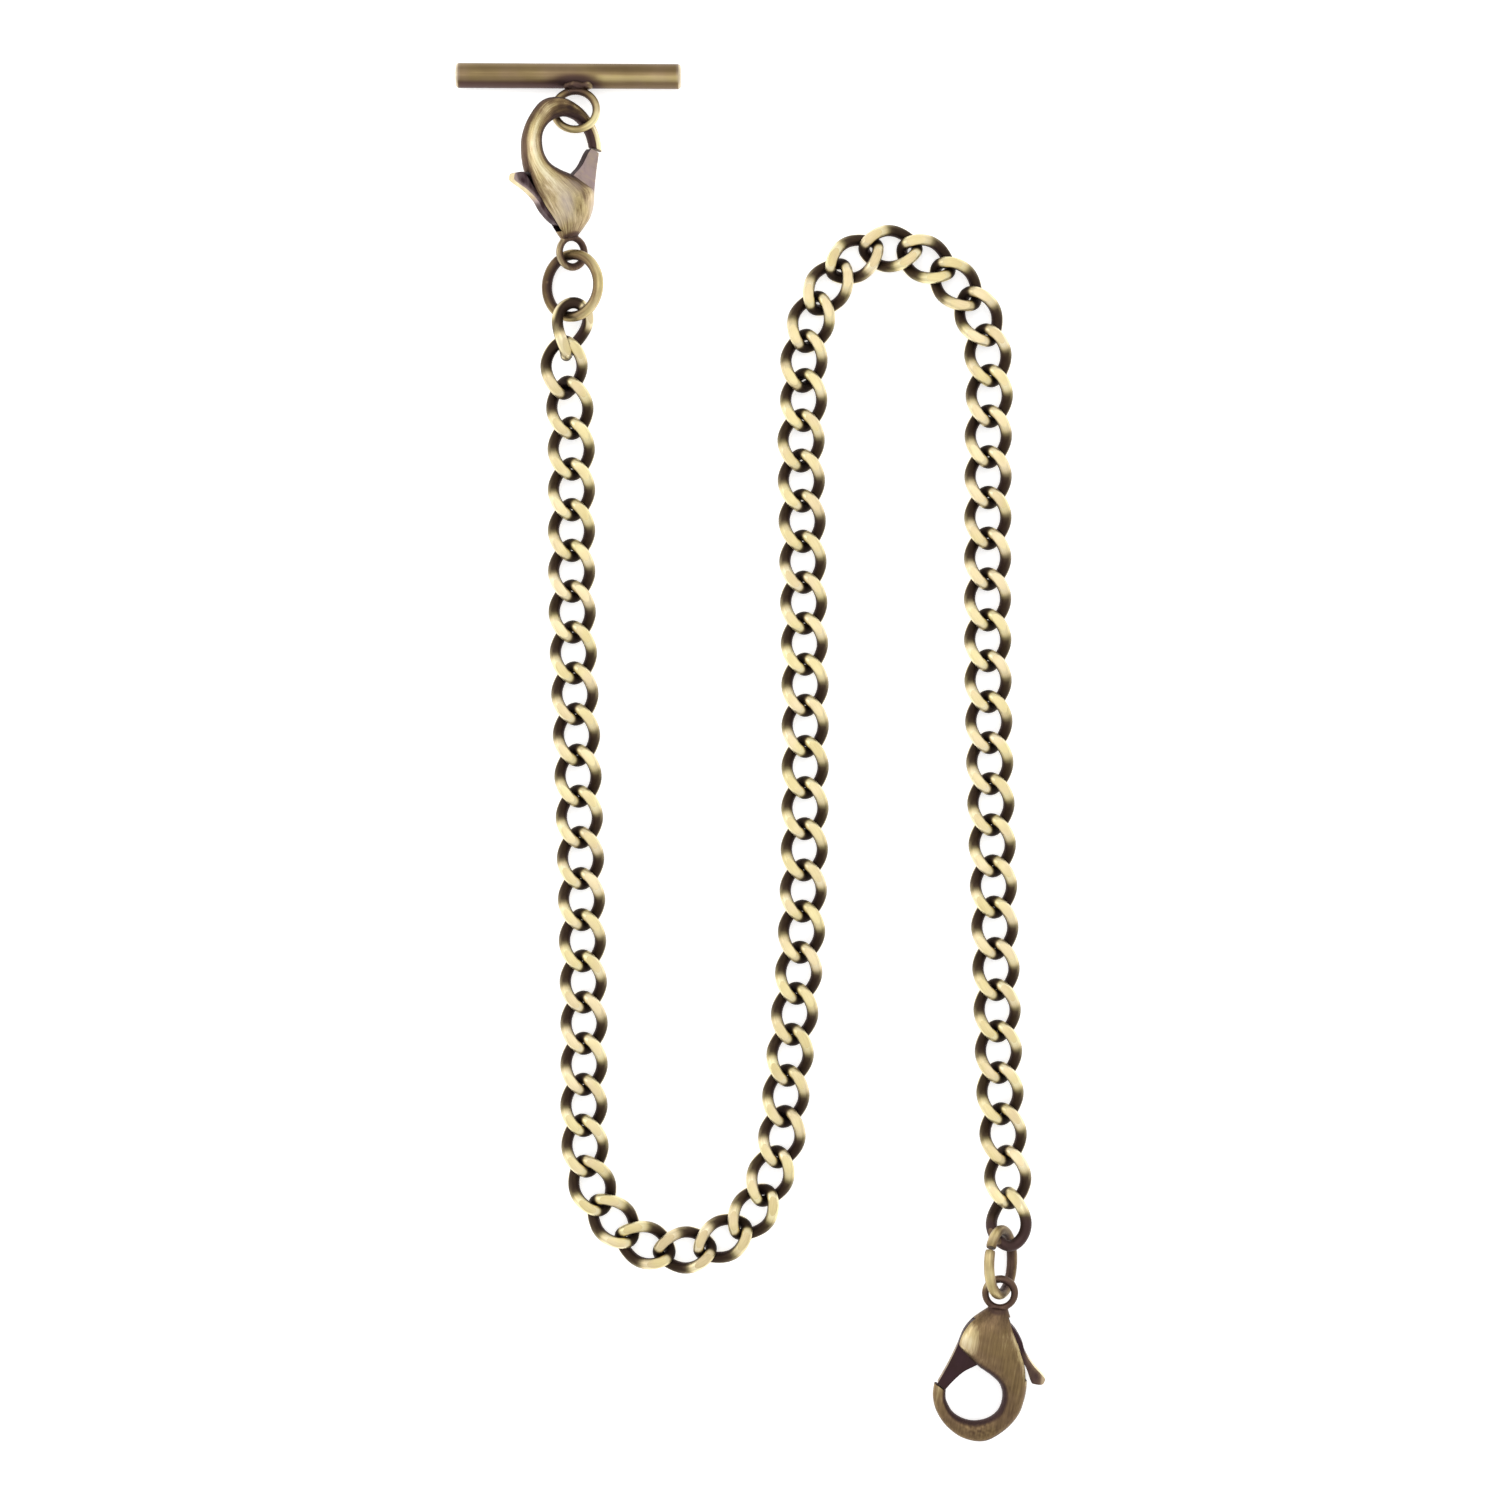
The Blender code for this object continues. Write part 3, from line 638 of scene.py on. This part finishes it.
def add_chain(materials):
    """A piece for each link node, made of one or two copies of the link, each with its own wear, and its
    flats in painted shade where the link runs along x.
    """
    place = link_place()
    template = link_template()
    base = points_of(template)
    flats = list({v for face in template.polygons if face.material_index == 1 for v in face.vertices})
    wear_and_light = np.empty(len(base), np.float32)
    template.attributes["wear_and_light"].data.foreach_get("value", wear_and_light)
    for node in sorted(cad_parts):
        if not node.startswith("link_"):
            continue
        numbers = [int(part) for part in node.split("_")[1:]]
        copies = []
        for number in numbers:
            copy = template.copy()
            points = placed(base, place(number))
            move_points(copy, points)
            rng = np.random.default_rng(number)
            link_wear_highlight_shade = 0.92 * wear_and_light + 0.14 * ripple(points, 7, 5.0) * wear_and_light + rng.uniform(-0.03, 0.05)
            # Painted shade: the flats are darker the more the link runs along x.
            level = FACET_WEAR + 0.08 * rng.uniform(-1, 1) - 0.12 * abs(place(number).col[0].x)
            link_wear_highlight_shade[flats] = level + 0.1 * ripple(points[flats], 3, 1.6)
            # The last link is painted darker and purple over its half towards the jump ring.
            if number == LINK_COUNT:
                darker_end = smoothstep(-0.6, 0.6, base[:, 0])
                link_wear_highlight_shade *= 1 - 0.95 * darker_end
                copy.attributes["tint"].data.foreach_set("value", (0.6 * darker_end).astype(np.float32))
            copy.attributes["wear_and_light"].data.foreach_set("value", link_wear_highlight_shade.astype(np.float32))
            copies.append(copy)
        mesh = joined(copies)
        pair = [materials["wire"], materials["flat"]]
        new_piece(f"fine_{node}", mesh, node, (node,), pair, LINK_SHARP)


# ---- T-bar ----


def add_t_bar(materials):
    """The bar, with its shallow dents, its dark patch by the solder (solder stain and painted shade),
    painted highlights and painted shade round it, and its rubbed rims.
    """
    place = Matrix.Translation(BAR_CENTRE) @ Matrix.Rotation(BAR_TURN, 4, "Z")
    half = BAR_LENGTH / 2
    ends = [(half - inset, radius) for inset, radius in BAR_END]
    profile = ends + [(x, BAR_RADIUS) for x in np.linspace(half - 0.6, -half + 0.6, 90)]
    profile += [(-x, radius) for x, radius in reversed(ends)]
    sides = BAR_SIDES
    angle = FULL_TURN * np.arange(sides) / sides
    points, faces = [], []
    for x, radius in profile:
        points.extend((x, radius * math.cos(a), radius * math.sin(a)) for a in angle)
    for i in range(len(profile) - 1):
        for k in range(sides):
            m = (k + 1) % sides
            faces.append((i * sides + k, (i + 1) * sides + k, (i + 1) * sides + m, i * sides + m))
    faces.append(tuple(range(sides)))
    faces.append(tuple((len(profile) - 1) * sides + k for k in reversed(range(sides))))
    points = np.array(points)
    radial = points[:, 1:] / np.maximum(np.linalg.norm(points[:, 1:], axis=1), 1e-6)[:, None]
    dents = 0.012 * ripple(points * (0.35, 1, 1), 11, 2.4, 9)
    points[:, 1:] += radial * np.minimum(dents, 0)[:, None]
    around = np.arctan2(radial[:, 1], radial[:, 0])
    to_solder = np.hypot(points[:, 0] - BAR_RING_OFFSET, (points[:, 1] + BAR_RADIUS) * 1.6)
    # Darker patch by the solder, on the ring's side: partly solder stain, partly painted shade where the
    # ring meets the bar.
    solder_stain_and_shade = 1 - smoothstep(1.2, 3.6, to_solder)
    across = radial[:, 0]
    # Painted shade: the lower flank is darker, less so right of the ring, where the upper half is a little
    # darker instead.
    lower_flank_shade = smoothstep(-0.42, -0.75, across)
    right = smoothstep(BAR_RING_OFFSET + 0.5, BAR_RING_OFFSET + 3.0, points[:, 0])
    # Painted highlights: a thin pale line just off the top of the bar, stronger left of the ring, and a gold
    # band along its lower flank, stronger right of the ring.
    top_highlight_line = np.exp(-((across - 0.13) / 0.06) ** 2) * (0.5 + 0.5 * ripple(points * (1, 0, 0), 5, 3.0))
    golden_highlight_band = np.exp(-((across + 0.33) / 0.28) ** 2)
    wear_and_light = 0.455 - 0.42 * solder_stain_and_shade * smoothstep(0.3, -0.3, across) + 0.13 * top_highlight_line * (1 - right)
    wear_and_light += golden_highlight_band * (0.03 + 0.25 * right) - lower_flank_shade * (0.26 - 0.24 * right)
    wear_and_light -= 0.07 * right * smoothstep(0, 0.3, across)
    wear_and_light += 0.03 * ripple(points * (0.3, 0.5, 0.5), 57, 2.0)
    rim = smoothstep(half - 0.42, half - 0.2, np.abs(points[:, 0]))
    wear_and_light = np.maximum(wear_and_light, rim * 0.82)
    # The purple-brown tint here follows the painted-shade lower flank and the patch by the solder.
    patina = 0.75 * lower_flank_shade * (1 - 0.6 * right) + 0.6 * solder_stain_and_shade * smoothstep(0.3, -0.3, across)
    tint = np.clip(patina, 0, 1) * (1 - rim) - 0.5 * rim
    mesh = mesh_of("fine_t_bar", placed(points, place), faces)
    paint(mesh, wear_and_light, tint, np.stack((points[:, 0], around * BAR_RADIUS, np.zeros(len(points))), 1))
    new_piece("fine_t_bar", mesh, "t_bar", ("t_bar",), [materials["rod"]], ROUND_SHARP)


def ring_path(radius, count, start=0.0, sweep=FULL_TURN, stretch=1.0):
    t = start + sweep * np.arange(count) / (count if sweep == FULL_TURN else count - 1)
    return np.stack((radius * np.cos(t), stretch * radius * np.sin(t), 0 * t), 1), t


def add_bar_ring(materials):
    """The ring with its cut, and the solder that holds it to the bar."""
    place = (
        Matrix.Translation(BAR_CENTRE) @ Matrix.Rotation(BAR_TURN, 4, "Z")
        @ Matrix.Translation((BAR_RING_OFFSET, 0, 0)) @ Matrix.Rotation(-BAR_RING_PITCH, 4, "X")
    )
    reach = BAR_RADIUS + BAR_RING_RADIUS + BAR_RING_WIRE
    path, _ = ring_path(BAR_RING_RADIUS, 96, BAR_RING_CUT + BAR_RING_GAP / 2, FULL_TURN - BAR_RING_GAP)
    points, faces, *_ = tube(path - (0, reach, 0), BAR_RING_WIRE, 24, False)
    ring = mesh_of("ring", points, faces)
    lumps = []
    for middle, radii in SOLDER_LUMPS:
        bm = bmesh.new()
        bmesh.ops.create_icosphere(bm, subdivisions=4, radius=MM)
        bmesh.ops.scale(bm, vec=radii, verts=bm.verts)
        bmesh.ops.translate(bm, vec=Vector(middle) * MM, verts=bm.verts)
        lump = bpy.data.meshes.new("lump")
        bm.to_mesh(lump)
        bm.free()
        lumps.append(lump)
    solder = evaluated(
        joined(lumps), ("REMESH", dict(mode="VOXEL", voxel_size=SOLDER_VOXEL * MM)),
        ("SMOOTH", dict(factor=0.5, iterations=6)),
    )
    spots = points_of(solder)
    move_points(solder, spots + normals_of(solder) * (0.05 * ripple(spots, 21, 0.7, 7))[:, None])
    for mesh, name in ((ring, "fine_t_bar_ring"), (solder, "bar_solder")):
        local = points_of(mesh)
        normal = normals_of(mesh)
        out = local[:, :2] + (0, reach)
        facing = np.sum(normal[:, :2] * out, 1) / np.maximum(np.linalg.norm(out, axis=1), 0.1)
        turn = np.arctan2(out[:, 1], out[:, 0])
        glow = np.exp(-((turn + 0.45) / 0.75) ** 2)
        wear_and_light = 0.55 + 0.3 * glow + 0.1 * facing + 0.08 * ripple(local, 31, 1.6)
        # Darker and more purple next to the bar: partly solder stain, partly painted shade where the ring
        # meets the bar.
        dark = 1 - smoothstep(1.7, 2.7, np.abs(local[:, 1]))
        wear_and_light -= 0.35 * dark + 0.22 * smoothstep(0.2, 0.9, -facing)
        if name == "bar_solder":
            wear_and_light = 0.2 + 0.3 * ripple(local, 9, 0.8) ** 2 + 0.4 * smoothstep(0.9, 1.5, local[:, 0])
        tint = np.clip(0.55 * dark + 0.35 * smoothstep(0.1, 0.9, -facing), 0, 1)
        move_points(mesh, placed(local, place))
        paint(mesh, wear_and_light, tint, np.stack((turn * BAR_RING_RADIUS, local[:, 2] * 1.5, facing), 1))
        new_piece(name, mesh, "t_bar", ("t_bar_ring",), [materials["ring"]], ROUND_SHARP)


# ---- jump rings ----


def add_jump_ring(name, spec, materials, seed):
    """A cut ring, a little thinner at its ends, bright outside and on top and dark inside, with painted
    highlights in pale specks on the inner side of its wire.
    """
    place = Matrix.Translation(spec["centre"]) @ Matrix.Rotation(math.radians(spec["tilt"]), 4, "Y")
    cut, gap = math.radians(spec["cut"]), math.radians(spec["gap"])
    path, turn = ring_path(JUMP_RADIUS, JUMP_STEPS, cut + gap / 2, FULL_TURN - gap, spec["stretch"])
    from_end = np.minimum(np.arange(JUMP_STEPS), JUMP_STEPS - 1 - np.arange(JUMP_STEPS))
    radius = JUMP_WIRE * (1 - 0.12 * np.exp(-from_end / 0.7))
    points, faces, step, angle, spokes = tube(path, radius, JUMP_SIDES, False)
    out = path[step][:, :2] / JUMP_RADIUS
    facing = np.sum(spokes[:, :2] * out, 1)
    world = placed(points, place)
    up = (spokes @ np.array(place.to_3x3()).T)[:, 2]
    wear_and_light = 0.42 + 0.12 * ripple(world, seed, 2.6)
    wear_and_light += 0.24 * smoothstep(0.1, 0.9, facing) * smoothstep(-0.6, 0.6, up)
    wear_and_light += spec["contrast"] * np.cos(turn[step] - math.radians(spec["bright"]))
    wear_and_light -= 0.3 * smoothstep(0.2, 0.95, -facing)
    # Painted highlights: pale specks on the inner side of the wire.
    wear_and_light += 0.3 * smoothstep(0.5, 0.75, ripple(world, seed + 1, 0.6, 7)) * smoothstep(0.2, -0.5, facing)
    wear_and_light -= 0.2 * np.exp(-from_end[step] / 3.0)
    tint = 0.35 * smoothstep(0.1, 0.9, -facing) + 0.2 * smoothstep(0.2, 1.0, -up)
    mesh = mesh_of(f"fine_{name}", world, faces)
    grain = np.stack((turn[step] * JUMP_RADIUS, angle * JUMP_WIRE * 1.6, np.zeros(len(angle))), 1)
    paint(mesh, wear_and_light, tint, grain)
    new_piece(f"fine_{name}", mesh, name, (name,), [materials["ring"]], ROUND_SHARP)


# ---- lobster clasps ----


def clasp_place(eye, lean, pitch, roll):
    """X runs from the eye to the hook, and Y to the thumb side."""
    return (
        Matrix.Translation(eye) @ Matrix.Rotation(math.pi / 2 + math.radians(lean), 4, "Z")
        @ Matrix.Rotation(-math.radians(pitch), 4, "Y") @ Matrix.Rotation(math.radians(roll), 4, "X")
    )


def casting(rows):
    """The cast body lofted through its sections, and how far along and which way round each point lies."""
    sides = CASTING_SIDES
    angle = FULL_TURN * np.arange(sides) / sides
    cos = np.sign(np.cos(angle)) * np.abs(np.cos(angle)) ** CASTING_ROUNDNESS
    sin = np.sign(np.sin(angle)) * np.abs(np.sin(angle)) ** CASTING_ROUNDNESS
    points, faces = [], []
    for gate_u, gate_v, thumb_u, thumb_v, half in rows:
        middle = np.array((gate_u + thumb_u, -gate_v - thumb_v, 0)) / 2
        reach = np.array((gate_u, -gate_v, 0)) - middle
        points.append(middle + reach * cos[:, None] + np.array((0, 0, half)) * sin[:, None])
    for i in range(len(rows) - 1):
        for k in range(sides):
            m = (k + 1) % sides
            faces.append((i * sides + k, i * sides + m, (i + 1) * sides + m, (i + 1) * sides + k))
    faces.append(tuple(reversed(range(sides))))
    faces.append(tuple((len(rows) - 1) * sides + k for k in range(sides)))
    middles = np.stack([ring.mean(0) for ring in points])
    length = np.concatenate(((0,), np.cumsum(np.linalg.norm(np.diff(middles, axis=0), axis=1))))
    points = np.concatenate(points)
    flow = np.stack((np.repeat(length, sides), np.tile(cos, len(rows)), np.tile(sin, len(rows))), 1)
    mesh = mesh_of("casting", points, faces)
    bm = bmesh.new()
    bm.from_mesh(mesh)
    bmesh.ops.recalc_face_normals(bm, faces=bm.faces)
    bm.to_mesh(mesh)
    bm.free()
    return mesh, points, flow


def carried_over(points, known, values):
    """Values at the points, from the nearest of the known ones."""
    tree = KDTree(len(known))
    for i, spot in enumerate(known):
        tree.insert(spot, i)
    tree.balance()
    out = np.empty((len(points), values.shape[1]))
    for i, spot in enumerate(points):
        near = tree.find_n(spot, 4)
        weight = np.array([1 / (gap + 0.02) ** 2 for _, _, gap in near])
        out[i] = weight @ values[[index for _, index, _ in near]] / weight.sum()
    return out


def plate(name, outline, half, edge):
    """A flat plate from an outline in the XY plane, its edges rounded unless edge is 0."""
    bm = bmesh.new()
    low = [bm.verts.new((x * MM, y * MM, -half * MM)) for x, y in outline]
    face = bm.faces.new(low)
    raised = bmesh.ops.extrude_face_region(bm, geom=[face])
    top = [item for item in raised["geom"] if isinstance(item, bmesh.types.BMVert)]
    bmesh.ops.translate(bm, vec=(0, 0, 2 * half * MM), verts=top)
    bmesh.ops.recalc_face_normals(bm, faces=bm.faces)
    if edge:
        rims = [e for e in bm.edges if abs(e.verts[0].co.z - e.verts[1].co.z) < 1e-7]
        bmesh.ops.bevel(
            bm, geom=rims, offset=edge * MM, segments=3, affect="EDGES", profile=0.5, clamp_overlap=True
        )
    mesh = bpy.data.meshes.new(name)
    bm.to_mesh(mesh)
    bm.free()
    return mesh


def body_sections(long_tip):
    """The casting's sections, with the last ones drawn back towards the eye for the longer hook."""
    sections = [list(row) for row in BODY_SECTIONS]
    if long_tip:
        for row, reach in zip(sections[-len(LONG_TIP):], LONG_TIP):
            row[0] -= reach
            row[2] -= reach
    return sections


def paint_slot(mesh):
    """Give the slot's walls their own material."""
    corners = np.array(SLOT_PLAN) * (1, -1)
    starts, spans = corners, np.roll(corners, -1, 0) - corners
    for face in mesh.polygons:
        u, v, z = face.center / MM
        if abs(z) > SLOT_HALF + 0.01 or not 2.3 < u < 10.1:
            continue
        to_face = np.array((u, v)) - starts
        t = np.clip(np.sum(to_face * spans, 1) / np.sum(spans**2, 1), 0, 1)
        gap = np.linalg.norm(to_face - spans * t[:, None], axis=1).min()
        if abs(abs(z) - SLOT_HALF) < 0.004 and abs(face.normal.z) > 0.99 or gap < 0.01:
            face.material_index = 1


def clasp_wear_and_highlights(top, mesh, known, flow, tip_u):
    """Wear of the cast body, with painted highlights on its shoulder, along the upper clasp's arm and on the
    lit side of the eye, from where each point lies on it. The two clasps differ.
    """
    points = points_of(mesh)
    normal = normals_of(mesh)
    length, gateward, upward = carried_over(points, known, flow).T
    u, v = points[:, 0], -points[:, 1]
    hole = HOLE_CENTRE * (1, -1)
    to_hole = hole - points[:, :2]
    distance = np.linalg.norm(to_hole, axis=1)
    inward = np.sum(normal[:, :2] * to_hole, axis=1) / np.maximum(distance, 0.1)
    neck = 1 - smoothstep(1.8, 4.0, u)
    eye = 1 - smoothstep(1.95, 2.35, np.hypot(u, v))
    # Painted highlight: a pale patch on the shoulder.
    shoulder_highlight = np.exp(-((u - 5.4) / 1.7) ** 2 - ((v - 2.7) / 1.1) ** 2)
    rim = smoothstep(-0.72, -0.96, gateward)
    tip = np.exp(-((u - tip_u) / 1.6) ** 2 - ((v - 4.9) / 1.0) ** 2)
    end_face = smoothstep(0.55, 0.85, -normal[:, 0]) * smoothstep(tip_u + 0.9, tip_u + 0.4, u)
    end_face *= smoothstep(3.0, 3.6, v)
    wear_and_light = 0.06 * ripple(points * (0.35, 1, 1), 41, 2.2, 7) + 0.04 * ripple(points, 43, 0.9, 7)
    ring_face = np.sum(normal[:, :2] * points[:, :2], axis=1) / np.maximum(np.hypot(u, v), 0.1)
    if top:
        inner = smoothstep(0.2, 0.8, inward) * (1 - smoothstep(3.8, 5.2, distance))
        inner_tip = smoothstep(0.2, 0.36, inward) * smoothstep(2.2, 3.2, v) * smoothstep(8.5, 9.5, u)
        bend = np.exp(-((u - 15.3) / 1.9) ** 2 - ((v - 1.8) / 3.2) ** 2)
        spots = np.clip(0.35 + 1.1 * ripple(points, 17, 1.3, 9), 0, 1) * bend
        # Painted highlight: a pale streak along the arm, towards the hook.
        streak = np.exp(-((gateward + 0.30) / 0.22) ** 2) * smoothstep(5.5, 8.5, u)
        slope = smoothstep(0.05, 0.6, gateward) * smoothstep(4.5, 6.0, u) * (1 - 0.9 * shoulder_highlight)
        wear_and_light += 0.69 + 0.08 * shoulder_highlight + 0.26 * streak - 0.42 * bend + 0.30 * tip - 0.14 * neck
        wear_and_light -= 0.34 * slope * (1 - bend)
        edge = rim * smoothstep(5.0, 7.5, u) * (1 - tip)
        left = 0.62 + 0.5 * smoothstep(0.2, -1.2, v)
        silver = smoothstep(-0.35, 0.45, ripple(points * (0.4, 1, 1), 51, 2.6)) * smoothstep(9.5, 5.0, u)
        wear_and_light -= inner_tip * (wear_and_light - 0.12)
        inner = np.maximum(inner, inner_tip)
    else:
        inner = smoothstep(0.3, 0.85, inward) * (1 - smoothstep(3.6, 5.0, distance))
        foot = np.exp(-((u - 15.3) / 0.8) ** 2 - ((v + 0.2) / 1.9) ** 2)
        spots = np.clip(1.5 * ripple(points * (1, 0.8, 1), 17, 0.42, 9), -0.5, 0.6) * foot * 0.55
        wear_and_light += 0.45 + 0.40 * shoulder_highlight + 0.18 * tip - 0.16 * neck - 0.07 * smoothstep(7.0, 10.0, u)
        wear_and_light += 0.30 * rim * smoothstep(3.2, 5.0, u) * smoothstep(11.5, 8.0, u)
        wear_and_light += 0.14 * np.exp(-(v / 0.5) ** 2) * neck
        edge = 0.6 * rim * smoothstep(14.0, 15.5, u) * smoothstep(2.0, -1.0, v)
        left = 0.30 + 0.9 * smoothstep(0.2, 1.4, v) * smoothstep(0.6, -0.8, u)
        silver = np.zeros(len(points))
    wear_and_light -= (0.3 if top else 0.5) * inner + 0.4 * spots + 0.55 * end_face + 0.34 * edge
    lit = left * smoothstep(-0.5, 0.6, ring_face)
    wear_and_light = wear_and_light * (1 - eye) + eye * (0.20 + 0.45 * lit + 0.08 * ripple(points, 19, 1.3))
    tint = np.clip(0.7 * inner + 0.25 * neck + 0.3 * spots + 0.3 * eye + 0.45 * edge + 0.5 * end_face, 0, 1)
    tint -= 0.8 * silver * (1 - np.clip(inner + eye + neck, 0, 1))
    grain = np.stack((length, 3.2 * gateward, 1.6 * upward), 1) if top else points
    paint(mesh, np.clip(wear_and_light, 0, 1), tint, grain)


def add_clasp_body(prefix, place, top, materials):
    """The casting and its eye in one skin, with the slot that the lever turns in cut through it."""
    sections = body_sections(top)
    rows = curve_through(sections, 6)
    path, turn = ring_path(EYE_RADIUS, 72)
    swell = 0.5 - 0.5 * np.cos(turn)
    wire = EYE_WIRE + EYE_SWELL * swell
    eye_points, eye_faces, *_ = tube(path * (1 + 0.05 * swell[:, None]), wire, 24, True)
    cast, known, flow = casting(rows)
    blank = joined([cast, mesh_of("eye", eye_points, eye_faces)])
    body = evaluated(
        blank, ("REMESH", dict(mode="VOXEL", voxel_size=VOXEL * MM)),
        ("SMOOTH", dict(factor=0.5, iterations=5)),
    )
    slot = plate("slot", [(u, -v) for u, v in SLOT_PLAN], SLOT_HALF, 0)
    cutter = bpy.data.objects.new("slot_cutter", slot)
    bpy.context.scene.collection.objects.link(cutter)
    body = evaluated(body, ("BOOLEAN", dict(operation="DIFFERENCE", solver="EXACT", object=cutter)))
    bpy.data.objects.remove(cutter, do_unlink=True)
    clasp_wear_and_highlights(top, body, known, flow, sections[-1][0])
    paint_slot(body)
    move_points(body, placed(points_of(body), place))
    pair = [materials["top_cast" if top else "bottom_cast"], materials["slot"]]
    new_piece(f"fine_{prefix}_body", body, prefix, (f"{prefix}_body",), pair, CASTING_SHARP)


def add_clasp_lever(prefix, place, top, materials):
    """The flat lever: its gate closes the hook, and its tab stands out on the thumb side."""
    plan = LEVER_GATE + (LEVER_SHORT_TIP if top else LEVER_TIP) + LEVER_REST
    lever = plate("lever", curve_through([(u, -v) for u, v in plan], 5, True), LEVER_HALF, LEVER_EDGE)
    lever = evaluated(
        lever, ("TRIANGULATE", dict(min_vertices=4)), ("SUBSURF", dict(subdivision_type="SIMPLE", levels=2))
    )
    points = points_of(lever)
    normal = normals_of(lever)
    u, v = points[:, 0], -points[:, 1]
    edge = smoothstep(0.9, 0.3, np.abs(normal[:, 2]))
    outward = np.where(v > 0, -normal[:, 1], normal[:, 1])
    contour = np.interp(u, *np.array(LEVER_REST[:LEVER_TAB_END:-1]).T)
    tab = smoothstep(5.5, 7.0, u) * (v < 0)
    by_edge = (1 - smoothstep(0.15, 0.6, v - contour)) * (v < 0)
    wear_and_light = 0.05 * ripple(points, 61, 1.2)
    if top:
        wear_and_light += np.where(v < 0, 0.27, 0.5) + by_edge * 0.22 * tab
        wear_and_light += edge * smoothstep(-0.2, 0.4, outward) * 0.36 * smoothstep(5.2, 6.8, u)
        wear_and_light -= 0.4 * edge * smoothstep(0.1, -0.5, outward)
        wear_and_light += 0.1 * smoothstep(0.35, 0.6, ripple(points, 67, 0.5, 7)) * (v > 0)
    else:
        wear_and_light += 0.2 + 0.12 * tab + by_edge * tab * 0.2
        wear_and_light += edge * smoothstep(-0.2, 0.4, outward) * 0.4 * smoothstep(5.6, 7.0, u)
        wear_and_light += 0.2 * tab * smoothstep(-5.6, -6.2, v)
    paint(lever, wear_and_light, np.zeros(len(points)), points)
    move_points(lever, placed(points, place))
    gate = [materials["top_gate" if top else "bottom_gate"]]
    node = f"{prefix}_lever"
    new_piece(f"fine_{node}", lever, node, (node,), gate, ROUND_SHARP)


def add_clasp(prefix, spec, materials):
    """One clasp: body, lever and pin. Its spring is the CAD node, in steel."""
    place = clasp_place(**spec)
    top = prefix == "top_clasp"
    add_clasp_body(prefix, place, top, materials)
    add_clasp_lever(prefix, place, top, materials)

    along = np.linspace(-PIN_HALF, PIN_HALF, 9)
    pin_path = np.stack((np.full(len(along), PIVOT[0]), np.full(len(along), -PIVOT[1]), along), 1)
    points, faces, *_ = tube(pin_path, PIN_RADIUS, 32, False)
    pin = mesh_of("pin", placed(points, place), faces)
    paint(pin, np.full(len(points), PIN_WEAR), np.zeros(len(points)), points)
    cast_brass = [materials["top_cast" if top else "bottom_cast"]]
    new_piece(f"fine_{prefix}_pin", pin, prefix, (f"{prefix}_pin",), cast_brass, ROUND_SHARP)

    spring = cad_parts[f"{prefix}_spring"]
    spring.data.materials.clear()
    spring.data.materials.append(materials["steel"])


# ---- stage ----


def add_floor():
    """A plain pale floor just under the chain."""
    bm = bmesh.new()
    bmesh.ops.create_grid(bm, x_segments=1, y_segments=1, size=FLOOR_SIZE)
    mesh = bpy.data.meshes.new("floor")
    bm.to_mesh(mesh)
    bm.free()
    floor = bpy.data.objects.new("floor", mesh)
    bpy.context.scene.collection.objects.link(floor)
    floor.location.z = cad_box[0][2] - FLOOR_GAP
    g = Graph("floor_paper")
    g.shader.inputs["Base Color"].default_value = PAPER
    g.shader.inputs["Roughness"].default_value = 0.9
    g.shader.inputs["Specular IOR Level"].default_value = 0.1
    g.shader.inputs["Emission Color"].default_value = WHITE
    g.shader.inputs["Emission Strength"].default_value = FLOOR_GLOW
    mesh.materials.append(g.material)


def add_light(name, place, size, power):
    """A square light that faces the origin."""
    data = bpy.data.lights.new(name, "AREA")
    data.size = size
    data.energy = power
    light = bpy.data.objects.new(name, data)
    bpy.context.scene.collection.objects.link(light)
    light.location = place
    light.rotation_euler = (-Vector(place)).to_track_quat("-Z", "Y").to_euler()


def add_stage():
    """White surroundings, the floor, the lights, and the camera straight above."""
    scene = bpy.context.scene
    scene.view_settings.view_transform = "Standard"
    world = bpy.data.worlds.new("studio")
    world.use_nodes = True
    background = world.node_tree.nodes["Background"]
    background.inputs["Color"].default_value = WHITE
    background.inputs["Strength"].default_value = SKY
    scene.world = world
    add_floor()
    for name, place, size, power in LIGHTS:
        add_light(name, place, size, power)

    data = bpy.data.cameras.new("camera")
    data.lens = LENS
    data.sensor_width = SENSOR
    data.clip_start = 0.01
    camera = bpy.data.objects.new("camera", data)
    scene.collection.objects.link(camera)
    distance = VIEW_WIDTH * LENS / SENSOR
    camera.location = (CAMERA_MIDDLE + Vector((0, 0, distance))) * MM
    scene.camera = camera


materials = make_materials()
add_stage()
add_t_bar(materials)
add_bar_ring(materials)
add_jump_ring("top_jump_ring", TOP_JUMP, materials, 71)
add_jump_ring("bottom_jump_ring", BOTTOM_JUMP, materials, 73)
for clasp_name, clasp_spec in CLASPS.items():
    add_clasp(clasp_name, clasp_spec, materials)
add_chain(materials)
